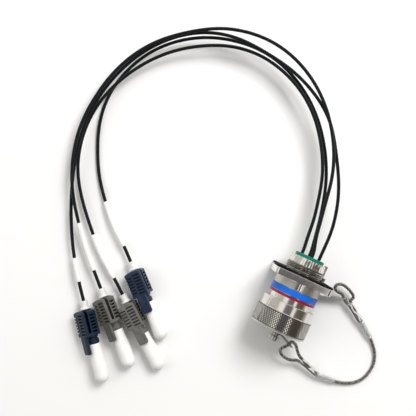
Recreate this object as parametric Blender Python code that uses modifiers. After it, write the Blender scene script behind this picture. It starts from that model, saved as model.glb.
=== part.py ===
"""Bulkhead receptacle with four plastic optical fibre pigtails, each ending in a latching plug
with a dust cap, and a screw-on protective cap tied to the flange by a wire lanyard.

+Y runs along the receptacle towards the fibres, +Z is up, and the flange stands on z = 0.
The origin is under the middle of the receptacle's length, from the grommet to the cap's post.
"""

import math

import bmesh
import bpy
import numpy as np
from mathutils import Matrix, Vector

MM = 0.001
GAP = 0.3 * MM
ROUND_SIDES = 40
SMALL_SIDES = 16
CUT_OVERRUN = 0.5 * MM

# Flange and its four panel holes
FLANGE_SIDE = 37.0 * MM
FLANGE_THICKNESS = 4.0 * MM
FLANGE_CORNER_RADIUS = 2.6 * MM
MOUNT_HOLE_SPACING = 28.0 * MM
MOUNT_HOLE_RADIUS = 1.7 * MM
AXIS_HEIGHT = FLANGE_SIDE / 2

# Rear of the shell, from the flange towards the fibres
REAR_RELIEF_LENGTH = 1.8 * MM
REAR_RELIEF_RADIUS = 11.6 * MM
THREAD_RIDGES = 4
THREAD_PITCH = 1.2 * MM
THREAD_CREST_RADIUS = 12.3 * MM
THREAD_DEPTH = 0.6 * MM
CROWN_LENGTH = 4.6 * MM
CROWN_RADIUS = 11.2 * MM
CROWN_TEETH = 27
CROWN_TOOTH_DEPTH = 2.2 * MM
CROWN_NOTCH_WIDTH = 1.9 * MM

# Front of the shell, from the flange towards the cap
PAD_LENGTH = 5.1 * MM
PAD_RADIUS = 14.8 * MM
CHANNEL_RADIUS = 3.4 * MM
CHANNEL_DEPTH = 1.9 * MM
CHANNEL_MARGIN = 0.4 * MM
BAND_LENGTH = 4.5 * MM
BAND_THICKNESS = 0.5 * MM
BAND_SEAT_RADIUS = 14.3 * MM
RED_RING_LENGTH = 1.6 * MM
RED_RING_RADIUS = 15.0 * MM
BARREL_LENGTH = 16.3 * MM
BARREL_RADIUS = 13.4 * MM
SOCKET_RADIUS = 11.6 * MM
SOCKET_DEPTH = 6.5 * MM
EDGE_CHAMFER = 0.5 * MM

# Grommet, its fibre holes and the contact insert
GROMMET_RADIUS = 9.4 * MM
GROMMET_PROUD = 2.0 * MM
GROMMET_LENGTH = 18.9 * MM
FIBRE_HOLE_CIRCLE_RADIUS = 5.7 * MM
FIBRE_HOLE_DEPTH = 2.5 * MM

# Panel gasket and flange screw
GASKET_SIDE = 36.8 * MM
GASKET_THICKNESS = 1.2 * MM
SCREW_RADIUS = 1.4 * MM
SCREW_HEAD_RADIUS = 2.75 * MM
SCREW_HEAD_LENGTH = 1.9 * MM
SCREW_TAIL = 7.6 * MM
NUT_ACROSS_CORNERS = 6.2 * MM
NUT_THICKNESS = 2.4 * MM

# Protective cap and its post
CAP_STANDOFF = 3.3 * MM
COLLAR_LENGTH = 6.1 * MM
COLLAR_RADIUS = 16.7 * MM
KNURL_LENGTH = 12.2 * MM
KNURL_RADIUS = 17.8 * MM
KNURL_CHAMFER = 1.5 * MM
CAP_END_WALL = 3.5 * MM
POST_RADIUS = 1.6 * MM
POST_NECK_LENGTH = 4.2 * MM
POST_HEAD_LENGTH = 3.2 * MM
POST_HEAD_RADIUS = 3.4 * MM
POST_SOCKET_DEPTH = 2.6 * MM
WASHER_RADIUS = 2.9 * MM
INNER_WASHER_THICKNESS = 0.8 * MM
OUTER_WASHER_THICKNESS = 1.2 * MM

# Lanyard
STRAP_WIDTH = 7.0 * MM
STRAP_THICKNESS = 0.9 * MM
STRAP_ROOT_REACH = 3.0 * MM
STRAP_EYE_HOLE_RADIUS = 2.2 * MM
STRAP_EYE_MARGIN = 3.0 * MM
FLANGE_STRAP_ARM = 19.7 * MM
FLANGE_STRAP_BEND = math.radians(18.5)
CAP_STRAP_ARM = 13.0 * MM
CAP_STRAP_BEND = math.radians(-24)
CAP_STRAP_DROOP = math.radians(22)
ROPE_RADIUS = 1.1 * MM
ROPE_EYE_STEP = 2.1 * MM
ROPE_RUN_STEP = 2.45 * MM
FERRULE_LENGTH = 13.0 * MM
FERRULE_HALF_WIDTH = 2.35 * MM
FERRULE_FLATNESS = 0.74
FERRULE_WAIST = 0.86
SHRINK_LENGTH = 13.0 * MM
SHRINK_WALL = 0.35 * MM

# Fibre cables and the pieces on them
CABLE_RADIUS = 1.1 * MM
CABLE_STEP = 6.4 * MM
CABLE_INSET = 1.5 * MM
SLEEVE_CLEARANCE = 0.3 * MM
MARKER_WALL = 0.35 * MM
RING_LENGTH = 5.5 * MM
RING_RADIUS = 2.6 * MM
RING_FLANGE_RADIUS = 3.3 * MM
RING_FLANGE_LENGTH = 0.9 * MM
RING_HOLE_DEPTH = 2.5 * MM

# Latching plug, with its ends counted along the fibre from the shoulder at its rear
PLUG_LENGTH = 15.6 * MM
PLUG_CROWN = 1.2 * MM
PLUG_WIDTH = 11.0 * MM
PLUG_HEIGHT = 10.0 * MM
PLUG_BEVEL = 0.6 * MM
PLUG_UNDER_FIBRE = 3.2 * MM
LEVER_REACH = 11.5 * MM
LEVER_WIDTH = 6.4 * MM
LEVER_THICKNESS = 1.8 * MM
SIDE_GROOVE_LENGTH = 12.0 * MM
SIDE_GROOVE_WIDTH = 1.6 * MM
SIDE_GROOVE_DEPTH = 1.6 * MM
SIDE_WINDOWS = 5
SIDE_WINDOW_LENGTH = 1.0 * MM
SIDE_WINDOW_HEIGHT = 3.4 * MM
SIDE_WINDOW_PITCH = 2.3 * MM
NOSE_LENGTH = 5.3 * MM
NOSE_RADIUS = 3.75 * MM
NOSE_GROOVE_RADIUS = 3.1 * MM
NOSE_GROOVE_WIDTH = 0.8 * MM
FERRULE_TIP_RADIUS = 3.0 * MM
FERRULE_TIP_LENGTH = 8.0 * MM

# Rubber dust cap
DUST_CAP_LENGTH = 25.7 * MM
DUST_CAP_MOUTH_RADIUS = 4.05 * MM
DUST_CAP_RADIUS = 4.7 * MM
DUST_CAP_BORE_CLEARANCE = 0.4 * MM
DUST_CAP_BORE_DEPTH = 20.0 * MM

# Places along the receptacle's axis, counted from the flange's rear face
THREAD_START = REAR_RELIEF_LENGTH
CROWN_START = THREAD_START + THREAD_RIDGES * THREAD_PITCH
CROWN_END = CROWN_START + CROWN_LENGTH
GROMMET_END = CROWN_END + GROMMET_PROUD
GROMMET_START = GROMMET_END - GROMMET_LENGTH
PAD_END = -FLANGE_THICKNESS - PAD_LENGTH
BAND_END = PAD_END - BAND_LENGTH
RED_RING_END = BAND_END - RED_RING_LENGTH
BARREL_END = RED_RING_END - BARREL_LENGTH
CAP_MOUTH = RED_RING_END - CAP_STANDOFF
COLLAR_END = CAP_MOUTH - COLLAR_LENGTH
CAP_END = COLLAR_END - KNURL_LENGTH
POST_NECK_END = CAP_END - POST_NECK_LENGTH
POST_END = POST_NECK_END - POST_HEAD_LENGTH
FLANGE_REAR_Y = -(GROMMET_END + POST_END) / 2

# Each plug: place of its fibre axis at the body's rear, heading, roll, and its cable's marker
PLUGS = {
    1: dict(place=(-114.5, -63.0, 6.4), heading=-51.5, roll=50, marker_gap=12.5, marker=15.5),
    2: dict(place=(-107.1, -50.8, 6.1), heading=-44.5, roll=40, marker_gap=12.5, marker=32.0),
    3: dict(place=(-92.3, -48.1, 4.95), heading=-38.3, roll=10, marker_gap=12.0, marker=31.0),
    4: dict(place=(-96.7, -27.1, 4.95), heading=-42.5, roll=15, marker_gap=11.0, marker=31.0),
}
HOLE_ANGLES = {1: 0.0, 2: 90.0, 3: 180.0, 4: 270.0}

# Each cable's route in millimetres, between its straight ends, chosen by hand
ROUTES = {
    1: [
        (5.7, 40, 18.25), (5.2, 49.5, 18.35), (3.6, 58.5, 18.45), (0.6, 69, 18.55),
        (-5, 81.5, 19.1), (-12.5, 94.5, 18.7),
        (-25, 111.5, 18.3), (-41, 123, 17.9), (-60, 130.5, 17), (-80, 134, 16.1),
        (-101, 134.5, 15.15), (-119.5, 129.5, 13.75), (-135, 119.5, 12.35), (-151, 100.5, 10.95),
        (-162, 74, 9.05), (-165, 50, 8.15), (-162, 26, 7.2), (-155.5, 4.5, 6.8),
        (-147, -15, 6.4), (-137, -33, 6),
    ],
    2: [
        (-2, 39, 24.25), (-4, 50, 23.85), (-6, 62.5, 23.45), (-8.5, 77, 23.05), (-12.5, 89.5, 22.6),
        (-18.5, 101.5, 21.7), (-31.5, 118.5, 20.8), (-51, 133, 19.9), (-74, 140.5, 19),
        (-96, 140, 17.6), (-111, 135.5, 16.65), (-127.5, 126, 15.25), (-144.5, 111.5, 13.85),
        (-159, 88.5, 12.45), (-165.5, 64, 11.05), (-166.5, 43, 10.15), (-163, 24.5, 9.7),
        (-154.5, 4.5, 9.3), (-142.5, -13, 7.9), (-130, -28, 6.5),
    ],
    3: [
        (-6.5, 38, 18.25), (-7.5, 49, 17.85), (-10, 62.5, 17.45), (-14, 77.5, 17.05), (-20.5, 91.5, 16.1),
        (-32, 107.5, 15.7), (-46, 119.5, 15.3), (-61, 127, 14.4), (-78.5, 131, 13.5),
        (-98, 129.5, 12.6), (-117, 122, 11.15), (-136, 108.5, 9.25), (-151, 90, 7.85),
        (-160.5, 70, 6.45), (-164, 50, 5.55), (-162.5, 33, 5.15), (-157.5, 17.5, 4.7),
        (-148.5, 3, 4.3), (-133, -14.5, 4.9), (-120, -27, 4.65),
    ],
    4: [
        (-1, 38, 12.75), (-3, 49.5, 12.85), (-6, 63, 12.95), (-10.5, 77, 13.55), (-17, 90.5, 13.1),
        (-27, 105, 12.7), (-39.5, 117.5, 12.3), (-56, 128, 11.4), (-77, 134.5, 10.5),
        (-99, 134, 9.1), (-118.5, 128, 7.65), (-135, 117.5, 6.25), (-148, 103, 4.85),
        (-156.5, 85, 3.45), (-159.5, 67, 2.55), (-157.5, 50.5, 2.15), (-151.5, 34, 1.7),
        (-143, 18.5, 1.8), (-132, 5, 3.4), (-119.5, -7.5, 4.65),
    ],
}

# Lanyard routes in millimetres, chosen by hand
UPPER_FERRULE = ((37.4, 11.8, 4.95), (48.6, 4.4, 3.8))
LOWER_FERRULE = ((24.2, -34.4, 6.7), (36.5, -38.2, 4.2))
ROPE_RUN = [
    (54, 0.8, 3.1), (58.5, -2.4, 2.5), (63, -6.5, 1.9), (66.7, -11.6, 1.5), (68.5, -17.5, 1.3),
    (68, -24, 1.3), (65.5, -30, 1.3), (61.5, -34, 1.4), (56, -36.7, 1.8), (49, -38.2, 2.5),
    (42, -38.6, 3.4),
]
UPPER_EYE = [
    (34.5, 12.0, 4.75), (32.9, 13.4, 4.55), (31.4, 14.9, 4.75), (29.3, 15.5, 5.15), (27, 15.6, 5.55),
    (25.1, 16.5, 5.85), (24.4, 18.3, 6.05), (25.8, 20.3, 6.05), (28.6, 21, 6.05),
    (32, 20.3, 5.75), (35.6, 18.7, 5.25), (38.0, 15.9, 5.05),
]
LOWER_EYE = [
    (20.6, -31.2, 8.65), (17.6, -28.1, 11.15), (14.6, -25.4, 13.25), (12.2, -25.2, 14.15),
    (11.1, -27.5, 14.15), (9.4, -30, 13.55), (8.0, -32.6, 12.25), (9.8, -35.2, 10.75),
    (13.6, -36.6, 9.25), (18, -36.5, 7.95),
]


def clear_scene():
    for found in list(bpy.data.objects):
        bpy.data.objects.remove(found, do_unlink=True)


def new_collection(name):
    made = bpy.data.collections.new(name)
    bpy.context.scene.collection.children.link(made)
    return made


def new_material(name, colour, roughness, metallic=0.0):
    made = bpy.data.materials.new(name)
    made.use_nodes = True
    shader = made.node_tree.nodes["Principled BSDF"]
    shader.inputs["Base Color"].default_value = (*colour, 1.0)
    shader.inputs["Roughness"].default_value = roughness
    shader.inputs["Metallic"].default_value = metallic
    return made


def add_object(name, data, collection, parent=None, material=None):
    made = bpy.data.objects.new(name, data)
    collection.objects.link(made)
    made.parent = parent
    if material:
        made.data.materials.append(material)
    return made


def add_empty(name, collection, place, turn, parent=None):
    made = add_object(name, None, collection, parent)
    made.location = place
    made.rotation_euler = turn
    return made


def as_cutter(cutter):
    cutter.hide_render = True
    cutter.display_type = "WIRE"
    return cutter


def mesh_from(shape, name):
    mesh = bpy.data.meshes.new(name)
    shape.to_mesh(mesh)
    shape.free()
    return mesh


def smooth_round(mesh):
    mesh.shade_smooth()
    mesh.set_sharp_from_angle(angle=math.radians(35))


def turned(name, profile, collection, parent=None, material=None, closed=False, sides=ROUND_SIDES):
    """A turned piece about its local Z, from (radius, height) points down its outer side."""
    shape = bmesh.new()
    points = [shape.verts.new((radius, 0, height)) for radius, height in profile]
    for start, end in zip(points, points[1:]):
        shape.edges.new((start, end))
    if closed:
        shape.edges.new((points[-1], points[0]))
    made = add_object(name, mesh_from(shape, name), collection, parent, material)
    screw = made.modifiers.new("turn", "SCREW")
    screw.steps = sides
    screw.render_steps = sides
    screw.use_merge_vertices = True
    screw.merge_threshold = 0.00001
    screw.use_smooth_shade = False
    return made


def solid_turned(name, profile, *placing, **settings):
    """A turned piece whose ends close on the axis."""
    top, bottom = profile[0][1], profile[-1][1]
    return turned(name, [(0, top), *profile, (0, bottom)], *placing, **settings)


def ring_turned(name, outer, inner_radius, *placing, **settings):
    """A turned piece with a plain bore."""
    top, bottom = outer[0][1], outer[-1][1]
    profile = [*outer, (inner_radius, bottom), (inner_radius, top)]
    return turned(name, profile, *placing, closed=True, **settings)


def cylinder_into(shape, radius, depth, matrix, sides=SMALL_SIDES):
    bmesh.ops.create_cone(
        shape, cap_ends=True, segments=sides, radius1=radius, radius2=radius, depth=depth, matrix=matrix
    )


def box_into(shape, low, high):
    low, high = Vector(low), Vector(high)
    place = Matrix.Translation((low + high) / 2) @ Matrix.Diagonal((*(high - low), 1))
    bmesh.ops.create_cube(shape, size=1.0, matrix=place)


def boolean(target, operation, operand):
    modifier = target.modifiers.new(operation.lower(), "BOOLEAN")
    modifier.operation = operation
    modifier.solver = "EXACT"
    modifier.object = operand


def rounded_square(half, radius, steps=5):
    """The corners of a square with round corners, anticlockwise."""
    points = []
    for quarter in range(4):
        centre = Matrix.Rotation(quarter * math.pi / 2, 2) @ Vector((half - radius, half - radius))
        for step in range(steps + 1):
            angle = (quarter + step / steps) * math.pi / 2
            points.append(centre + radius * Vector((math.cos(angle), math.sin(angle))))
    return points


def outline_mesh(name, points, low, high):
    """A flat outline in XY, filled and extruded between two heights."""
    shape = bmesh.new()
    face = shape.faces.new([shape.verts.new((x, y, low)) for x, y in points])
    grown = bmesh.ops.extrude_face_region(shape, geom=[face])["geom"]
    moved = [piece for piece in grown if isinstance(piece, bmesh.types.BMVert)]
    bmesh.ops.translate(shape, vec=(0, 0, high - low), verts=moved)
    bmesh.ops.recalc_face_normals(shape, faces=shape.faces)
    return mesh_from(shape, name)


def corner_holes(name, depth_low, depth_high, collection, parent):
    shape = bmesh.new()
    for across in (-1, 1):
        for up in (-1, 1):
            middle = (
                across * MOUNT_HOLE_SPACING / 2,
                up * MOUNT_HOLE_SPACING / 2,
                (depth_low + depth_high) / 2,
            )
            cylinder_into(shape, MOUNT_HOLE_RADIUS, depth_high - depth_low, Matrix.Translation(middle))
    return as_cutter(add_object(name, mesh_from(shape, name), collection, parent))


def thread_profile():
    """Ridges of the rear thread, from its rear end to the flange."""
    root = THREAD_CREST_RADIUS - THREAD_DEPTH
    points = [(root, CROWN_START)]
    for ridge in reversed(range(THREAD_RIDGES)):
        foot = THREAD_START + ridge * THREAD_PITCH
        points += [
            (THREAD_CREST_RADIUS, foot + THREAD_PITCH / 2),
            (root, foot),
        ]
    return points


def make_shell(parts, cutters, axis, material):
    """One machined piece: rear thread and crown, flange, padded neck, band seat and front barrel."""
    profile = [
        (CROWN_RADIUS, CROWN_END),
        (CROWN_RADIUS, CROWN_START),
        *thread_profile(),
        (REAR_RELIEF_RADIUS, THREAD_START),
        (REAR_RELIEF_RADIUS, -FLANGE_THICKNESS / 2),
        (PAD_RADIUS, -FLANGE_THICKNESS / 2),
        (PAD_RADIUS, PAD_END),
        (BAND_SEAT_RADIUS, PAD_END),
        (BAND_SEAT_RADIUS, BAND_END),
        (RED_RING_RADIUS, BAND_END),
        (RED_RING_RADIUS, RED_RING_END),
        (BARREL_RADIUS, RED_RING_END),
        (BARREL_RADIUS, BARREL_END + EDGE_CHAMFER),
        (BARREL_RADIUS - EDGE_CHAMFER, BARREL_END),
    ]
    shell = solid_turned("shell", profile, parts, axis, material)
    half = FLANGE_SIDE / 2
    plate = outline_mesh(
        "flange_blank", rounded_square(half, FLANGE_CORNER_RADIUS), -FLANGE_THICKNESS, 0
    )
    boolean(shell, "UNION", as_cutter(add_object("flange_blank", plate, cutters, axis)))

    bore_step = GROMMET_START - GAP
    bore = [
        (GROMMET_RADIUS + GAP, CROWN_END + CUT_OVERRUN),
        (GROMMET_RADIUS + GAP, bore_step),
        (SOCKET_RADIUS, bore_step),
        (SOCKET_RADIUS, BARREL_END - CUT_OVERRUN),
    ]
    boolean(shell, "DIFFERENCE", as_cutter(solid_turned("bore_cutter", bore, cutters, axis)))
    boolean(
        shell,
        "DIFFERENCE",
        corner_holes("flange_hole_cutter", -FLANGE_THICKNESS - CUT_OVERRUN, CUT_OVERRUN, cutters, axis),
    )

    shape = bmesh.new()
    channel_top, channel_bottom = -FLANGE_THICKNESS - CHANNEL_MARGIN, PAD_END + CHANNEL_MARGIN
    reach = PAD_RADIUS - CHANNEL_DEPTH + CHANNEL_RADIUS
    for quarter in range(4):
        turn = Matrix.Rotation(quarter * math.pi / 2, 4, "Z")
        shift = Matrix.Translation((reach, 0, (channel_top + channel_bottom) / 2))
        cylinder_into(shape, CHANNEL_RADIUS, channel_top - channel_bottom, turn @ shift, 24)
    channels = as_cutter(add_object("channel_cutter", mesh_from(shape, "channel_cutter"), cutters, axis))
    boolean(shell, "DIFFERENCE", channels)

    shape = bmesh.new()
    wall_middle = (GROMMET_RADIUS + CROWN_RADIUS) / 2
    prism = CROWN_TOOTH_DEPTH
    wide = CROWN_NOTCH_WIDTH / 2 / (CROWN_TOOTH_DEPTH * math.tan(math.pi / 6))
    for tooth in range(CROWN_TEETH):
        angle = 2 * math.pi * tooth / CROWN_TEETH
        out = Vector((math.cos(angle), math.sin(angle), 0))
        side = Vector((math.sin(angle), -math.cos(angle), 0))
        turn = Matrix((side, Vector((0, 0, -1)), out)).transposed().to_4x4()
        place = Matrix.Translation(out * wall_middle + Vector((0, 0, CROWN_END - CROWN_TOOTH_DEPTH + prism)))
        cylinder_into(shape, prism, 4 * MM, place @ turn @ Matrix.Diagonal((wide, 1, 1, 1)), 3)
    notches = as_cutter(add_object("crown_cutter", mesh_from(shape, "crown_cutter"), cutters, axis))
    boolean(shell, "DIFFERENCE", notches)
    return shell


def make_receptacle_fittings(parts, cutters, axis, materials):
    """The band, gasket, grommet and insert that sit on and in the shell."""
    band_radius = BAND_SEAT_RADIUS + GAP
    outer = [
        (band_radius + BAND_THICKNESS, PAD_END - GAP),
        (band_radius + BAND_THICKNESS, BAND_END + GAP),
    ]
    ring_turned("id_band", outer, band_radius, parts, axis, materials["band"])

    gasket_top = GAP + GASKET_THICKNESS
    corner = FLANGE_CORNER_RADIUS - (FLANGE_SIDE - GASKET_SIDE) / 2
    sheet = outline_mesh("panel_gasket", rounded_square(GASKET_SIDE / 2, corner), GAP, gasket_top)
    gasket = add_object("panel_gasket", sheet, parts, axis, materials["black_rubber"])
    shape = bmesh.new()
    middle = Matrix.Translation((0, 0, gasket_top / 2))
    cylinder_into(shape, THREAD_CREST_RADIUS + GAP, gasket_top + 2 * CUT_OVERRUN, middle, ROUND_SIDES)
    opening = as_cutter(add_object("gasket_cutter", mesh_from(shape, "gasket_cutter"), cutters, axis))
    boolean(gasket, "DIFFERENCE", opening)
    boolean(
        gasket,
        "DIFFERENCE",
        corner_holes("gasket_hole_cutter", -CUT_OVERRUN, gasket_top + CUT_OVERRUN, cutters, axis),
    )

    profile = [
        (GROMMET_RADIUS - EDGE_CHAMFER, GROMMET_END),
        (GROMMET_RADIUS, GROMMET_END - EDGE_CHAMFER),
        (GROMMET_RADIUS, GROMMET_START),
    ]
    grommet = solid_turned("grommet", profile, parts, axis, materials["green_rubber"])
    shape = bmesh.new()
    for hole in HOLE_ANGLES.values():
        x, y = hole_offset(hole)
        middle = (x, y, GROMMET_END - FIBRE_HOLE_DEPTH / 2 + CUT_OVERRUN / 2)
        depth = FIBRE_HOLE_DEPTH + CUT_OVERRUN
        cylinder_into(shape, CABLE_RADIUS + SLEEVE_CLEARANCE, depth, Matrix.Translation(middle))
    holes = as_cutter(add_object("fibre_cutter", mesh_from(shape, "fibre_cutter"), cutters, axis))
    boolean(grommet, "DIFFERENCE", holes)

    insert_radius = SOCKET_RADIUS - GAP
    profile = [
        (insert_radius, GROMMET_START - 2 * GAP),
        (insert_radius, BARREL_END + SOCKET_DEPTH + EDGE_CHAMFER),
        (insert_radius - EDGE_CHAMFER, BARREL_END + SOCKET_DEPTH),
    ]
    solid_turned("contact_insert", profile, parts, axis, materials["dark_plastic"])


def hole_offset(angle):
    """A fibre hole's place in the axis empty, whose local -Y is up."""
    turn = math.radians(angle)
    return FIBRE_HOLE_CIRCLE_RADIUS * math.cos(turn), -FIBRE_HOLE_CIRCLE_RADIUS * math.sin(turn)


def make_nut(name, foot, parts, cutters, parent, material):
    """A hexagon nut about its parent's Z, standing on foot."""
    shape = bmesh.new()
    middle = Matrix.Translation((0, 0, foot + NUT_THICKNESS / 2))
    cylinder_into(shape, NUT_ACROSS_CORNERS / 2, NUT_THICKNESS, middle, 6)
    nut = add_object(name, mesh_from(shape, name), parts, parent, material)
    shape = bmesh.new()
    cylinder_into(shape, SCREW_RADIUS + GAP, NUT_THICKNESS + 2 * CUT_OVERRUN, middle)
    hole = as_cutter(add_object(name + "_cutter", mesh_from(shape, name + "_cutter"), cutters, parent))
    boolean(nut, "DIFFERENCE", hole)
    return nut


def make_strap(name, arm, bend, pin_radius, foot, parts, cutters, parent, material):
    """A bent steel strap: its root lies flat round a pin along the parent's Z, above foot."""
    root_end = Vector((STRAP_ROOT_REACH, 0))
    arm_way = Vector((math.cos(bend), math.sin(bend)))
    tip = root_end + arm * arm_way
    middle = foot + STRAP_THICKNESS / 2
    shape = bmesh.new()
    line = [Vector((-STRAP_WIDTH / 2, 0)), root_end, tip]
    points = [shape.verts.new((x, -STRAP_WIDTH / 2, middle + z)) for x, z in line]
    edges = [shape.edges.new(pair) for pair in zip(points, points[1:])]
    grown = bmesh.ops.extrude_edge_only(shape, edges=edges)["geom"]
    moved = [piece for piece in grown if isinstance(piece, bmesh.types.BMVert)]
    bmesh.ops.translate(shape, vec=(0, STRAP_WIDTH, 0), verts=moved)
    shape.verts.ensure_lookup_table()
    ends = (-STRAP_WIDTH / 2, tip.x)
    corners = [vert for vert in shape.verts if min(abs(vert.co.x - end) for end in ends) < 0.1 * MM]
    bmesh.ops.bevel(
        shape, geom=corners, affect="VERTICES", offset=STRAP_WIDTH * 0.42, segments=5, profile=0.5
    )
    bmesh.ops.recalc_face_normals(shape, faces=shape.faces)
    strap = add_object(name, mesh_from(shape, name), parts, parent, material)
    thick = strap.modifiers.new("sheet", "SOLIDIFY")
    thick.thickness = STRAP_THICKNESS
    thick.offset = 0
    thick.use_even_offset = True

    shape = bmesh.new()
    cylinder_into(shape, pin_radius + GAP, 4 * STRAP_THICKNESS, Matrix.Translation((0, 0, middle)))
    eye = tip - STRAP_EYE_MARGIN * arm_way
    place = Matrix.Translation((eye.x, 0, middle + eye.y)) @ Matrix.Rotation(-bend, 4, "Y")
    cylinder_into(shape, STRAP_EYE_HOLE_RADIUS, 4 * STRAP_THICKNESS, place)
    holes = as_cutter(add_object(name + "_cutter", mesh_from(shape, name + "_cutter"), cutters, parent))
    boolean(strap, "DIFFERENCE", holes)
    return strap


def make_flange_screw(parts, cutters, axis, materials):
    """The screw through one flange corner, its two nuts and the strap that they hold."""
    corner = MOUNT_HOLE_SPACING / 2
    pin = add_empty("flange_screw_axis", cutters, (corner, corner, 0), (0, 0, 0), axis)
    steel = materials["steel"]
    rear_foot = 2 * GAP + GASKET_THICKNESS
    make_nut("rear_nut", rear_foot, parts, cutters, pin, steel)
    front_foot = -FLANGE_THICKNESS - GAP - NUT_THICKNESS
    make_nut("spacer_nut", front_foot, parts, cutters, pin, steel)
    strap_foot = front_foot - GAP - STRAP_THICKNESS
    make_strap(
        "flange_strap", FLANGE_STRAP_ARM, FLANGE_STRAP_BEND, SCREW_RADIUS, strap_foot,
        parts, cutters, pin, steel,
    )
    head_top = strap_foot - GAP
    profile = [
        (SCREW_RADIUS, rear_foot + NUT_THICKNESS + SCREW_TAIL),
        (SCREW_RADIUS, head_top),
        (SCREW_HEAD_RADIUS, head_top),
        (SCREW_HEAD_RADIUS, head_top - 0.7 * SCREW_HEAD_LENGTH),
        (0.7 * SCREW_HEAD_RADIUS, head_top - SCREW_HEAD_LENGTH),
    ]
    solid_turned("flange_screw", profile, parts, pin, materials["dark_steel"], sides=24)


def make_cap(parts, cutters, axis, materials):
    """The protective cap over the front barrel, its post, two washers and the strap on the post."""
    bore = BARREL_RADIUS + GAP
    floor = CAP_END + CAP_END_WALL
    hole_floor = CAP_END + POST_SOCKET_DEPTH
    hole = POST_RADIUS + GAP
    profile = [
        (bore, CAP_MOUTH),
        (COLLAR_RADIUS - EDGE_CHAMFER, CAP_MOUTH),
        (COLLAR_RADIUS, CAP_MOUTH - EDGE_CHAMFER),
        (COLLAR_RADIUS, COLLAR_END),
        (KNURL_RADIUS - EDGE_CHAMFER, COLLAR_END),
        (KNURL_RADIUS, COLLAR_END - EDGE_CHAMFER),
        (KNURL_RADIUS, CAP_END + KNURL_CHAMFER),
        (KNURL_RADIUS - KNURL_CHAMFER, CAP_END),
        (hole, CAP_END),
        (hole, hole_floor),
        (0, hole_floor),
    ]
    inside = [(0, floor), (bore, floor)]
    turned("protective_cap", [*inside, *profile], parts, axis, materials["nickel"])

    post_top = hole_floor - GAP
    profile = [
        (POST_RADIUS, post_top),
        (POST_RADIUS, POST_NECK_END),
        (POST_HEAD_RADIUS, POST_NECK_END),
        (POST_HEAD_RADIUS, POST_END + EDGE_CHAMFER),
        (POST_HEAD_RADIUS - EDGE_CHAMFER, POST_END),
    ]
    solid_turned("cap_post", profile, parts, axis, materials["nickel"], sides=24)

    inner_top = CAP_END - GAP
    inner_foot = inner_top - INNER_WASHER_THICKNESS
    outer = [(WASHER_RADIUS, inner_top), (WASHER_RADIUS, inner_foot)]
    ring_turned("inner_washer", outer, hole, parts, axis, materials["steel"], sides=24)
    strap_foot = inner_foot - GAP - STRAP_THICKNESS
    pin = add_empty("cap_strap_axis", cutters, (0, 0, 0), (0, 0, CAP_STRAP_DROOP), axis)
    make_strap(
        "cap_strap", CAP_STRAP_ARM, CAP_STRAP_BEND, POST_RADIUS, strap_foot,
        parts, cutters, pin, materials["steel"],
    )
    outer_top = strap_foot - GAP
    outer_foot = outer_top - OUTER_WASHER_THICKNESS
    outer = [(WASHER_RADIUS, outer_top), (WASHER_RADIUS, outer_foot)]
    ring_turned("outer_washer", outer, hole, parts, axis, materials["steel"], sides=24)


def smooth_path(points, step):
    """Points on the natural cubic spline through the given ones, evenly spaced, about a step apart."""
    points = np.array([tuple(point) for point in points], float)
    spans = np.linalg.norm(np.diff(points, axis=0), axis=1)
    knots = np.concatenate([[0], np.cumsum(spans)])
    size = len(points)
    system = np.eye(size)
    sides = np.zeros((size, 3))
    for i in range(1, size - 1):
        before, after = spans[i - 1], spans[i]
        system[i, i - 1 : i + 2] = before, 2 * (before + after), after
        sides[i] = 6 * ((points[i + 1] - points[i]) / after - (points[i] - points[i - 1]) / before)
    bends = np.linalg.solve(system, sides)

    def at(places):
        i = np.clip(np.searchsorted(knots, places, side="right") - 1, 0, size - 2)
        span = spans[i][:, None]
        left = (knots[i + 1] - places)[:, None]
        right = (places - knots[i])[:, None]
        curve = (bends[i] * left**3 + bends[i + 1] * right**3) / (6 * span)
        start = points[i] / span - bends[i] * span / 6
        end = points[i + 1] / span - bends[i + 1] * span / 6
        return curve + start * left + end * right

    fine = at(np.linspace(0, knots[-1], 40 * size))
    along = np.concatenate([[0], np.cumsum(np.linalg.norm(np.diff(fine, axis=0), axis=1))])
    even = np.linspace(0, along[-1], round(along[-1] / step) + 1)
    return np.column_stack([np.interp(even, along, fine[:, axis]) for axis in range(3)])


def part_of_path(path, start, end, count):
    """Evenly spaced points on a stretch of a path, its ends counted along it."""
    along = np.concatenate([[0], np.cumsum(np.linalg.norm(np.diff(path, axis=0), axis=1))])
    places = np.linspace(start, end, count)
    return np.column_stack([np.interp(places, along, path[:, axis]) for axis in range(3)])


def path_length(path):
    return float(np.linalg.norm(np.diff(path, axis=0), axis=1).sum())


def tube_curve(name, path, radius, capped):
    curve = bpy.data.curves.new(name, "CURVE")
    curve.dimensions = "3D"
    line = curve.splines.new("POLY")
    line.points.add(len(path) - 1)
    for point, place in zip(line.points, path):
        point.co = (*place, 1)
    curve.bevel_depth = radius
    curve.bevel_resolution = 2
    curve.use_fill_caps = capped
    return curve


def make_rope(name, path, radius, parts, material):
    return add_object(name, tube_curve(name, path, radius, True), parts, None, material)


def make_sleeve(name, path, inner_radius, wall, parts, material):
    """A thin tube round a stretch of cable or rope."""
    guide = add_object(name + "_guide", tube_curve(name, path, inner_radius, False), parts)
    graph = bpy.context.evaluated_depsgraph_get()
    mesh = bpy.data.meshes.new_from_object(guide.evaluated_get(graph))
    bpy.data.objects.remove(guide)
    shape = bmesh.new()
    shape.from_mesh(mesh)
    bmesh.ops.remove_doubles(shape, verts=shape.verts, dist=0.00001)
    bmesh.ops.recalc_face_normals(shape, faces=shape.faces)
    shape.to_mesh(mesh)
    shape.free()
    sleeve = add_object(name, mesh, parts, None, material)
    thick = sleeve.modifiers.new("wall", "SOLIDIFY")
    thick.thickness = wall
    thick.offset = 1
    return sleeve


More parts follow.
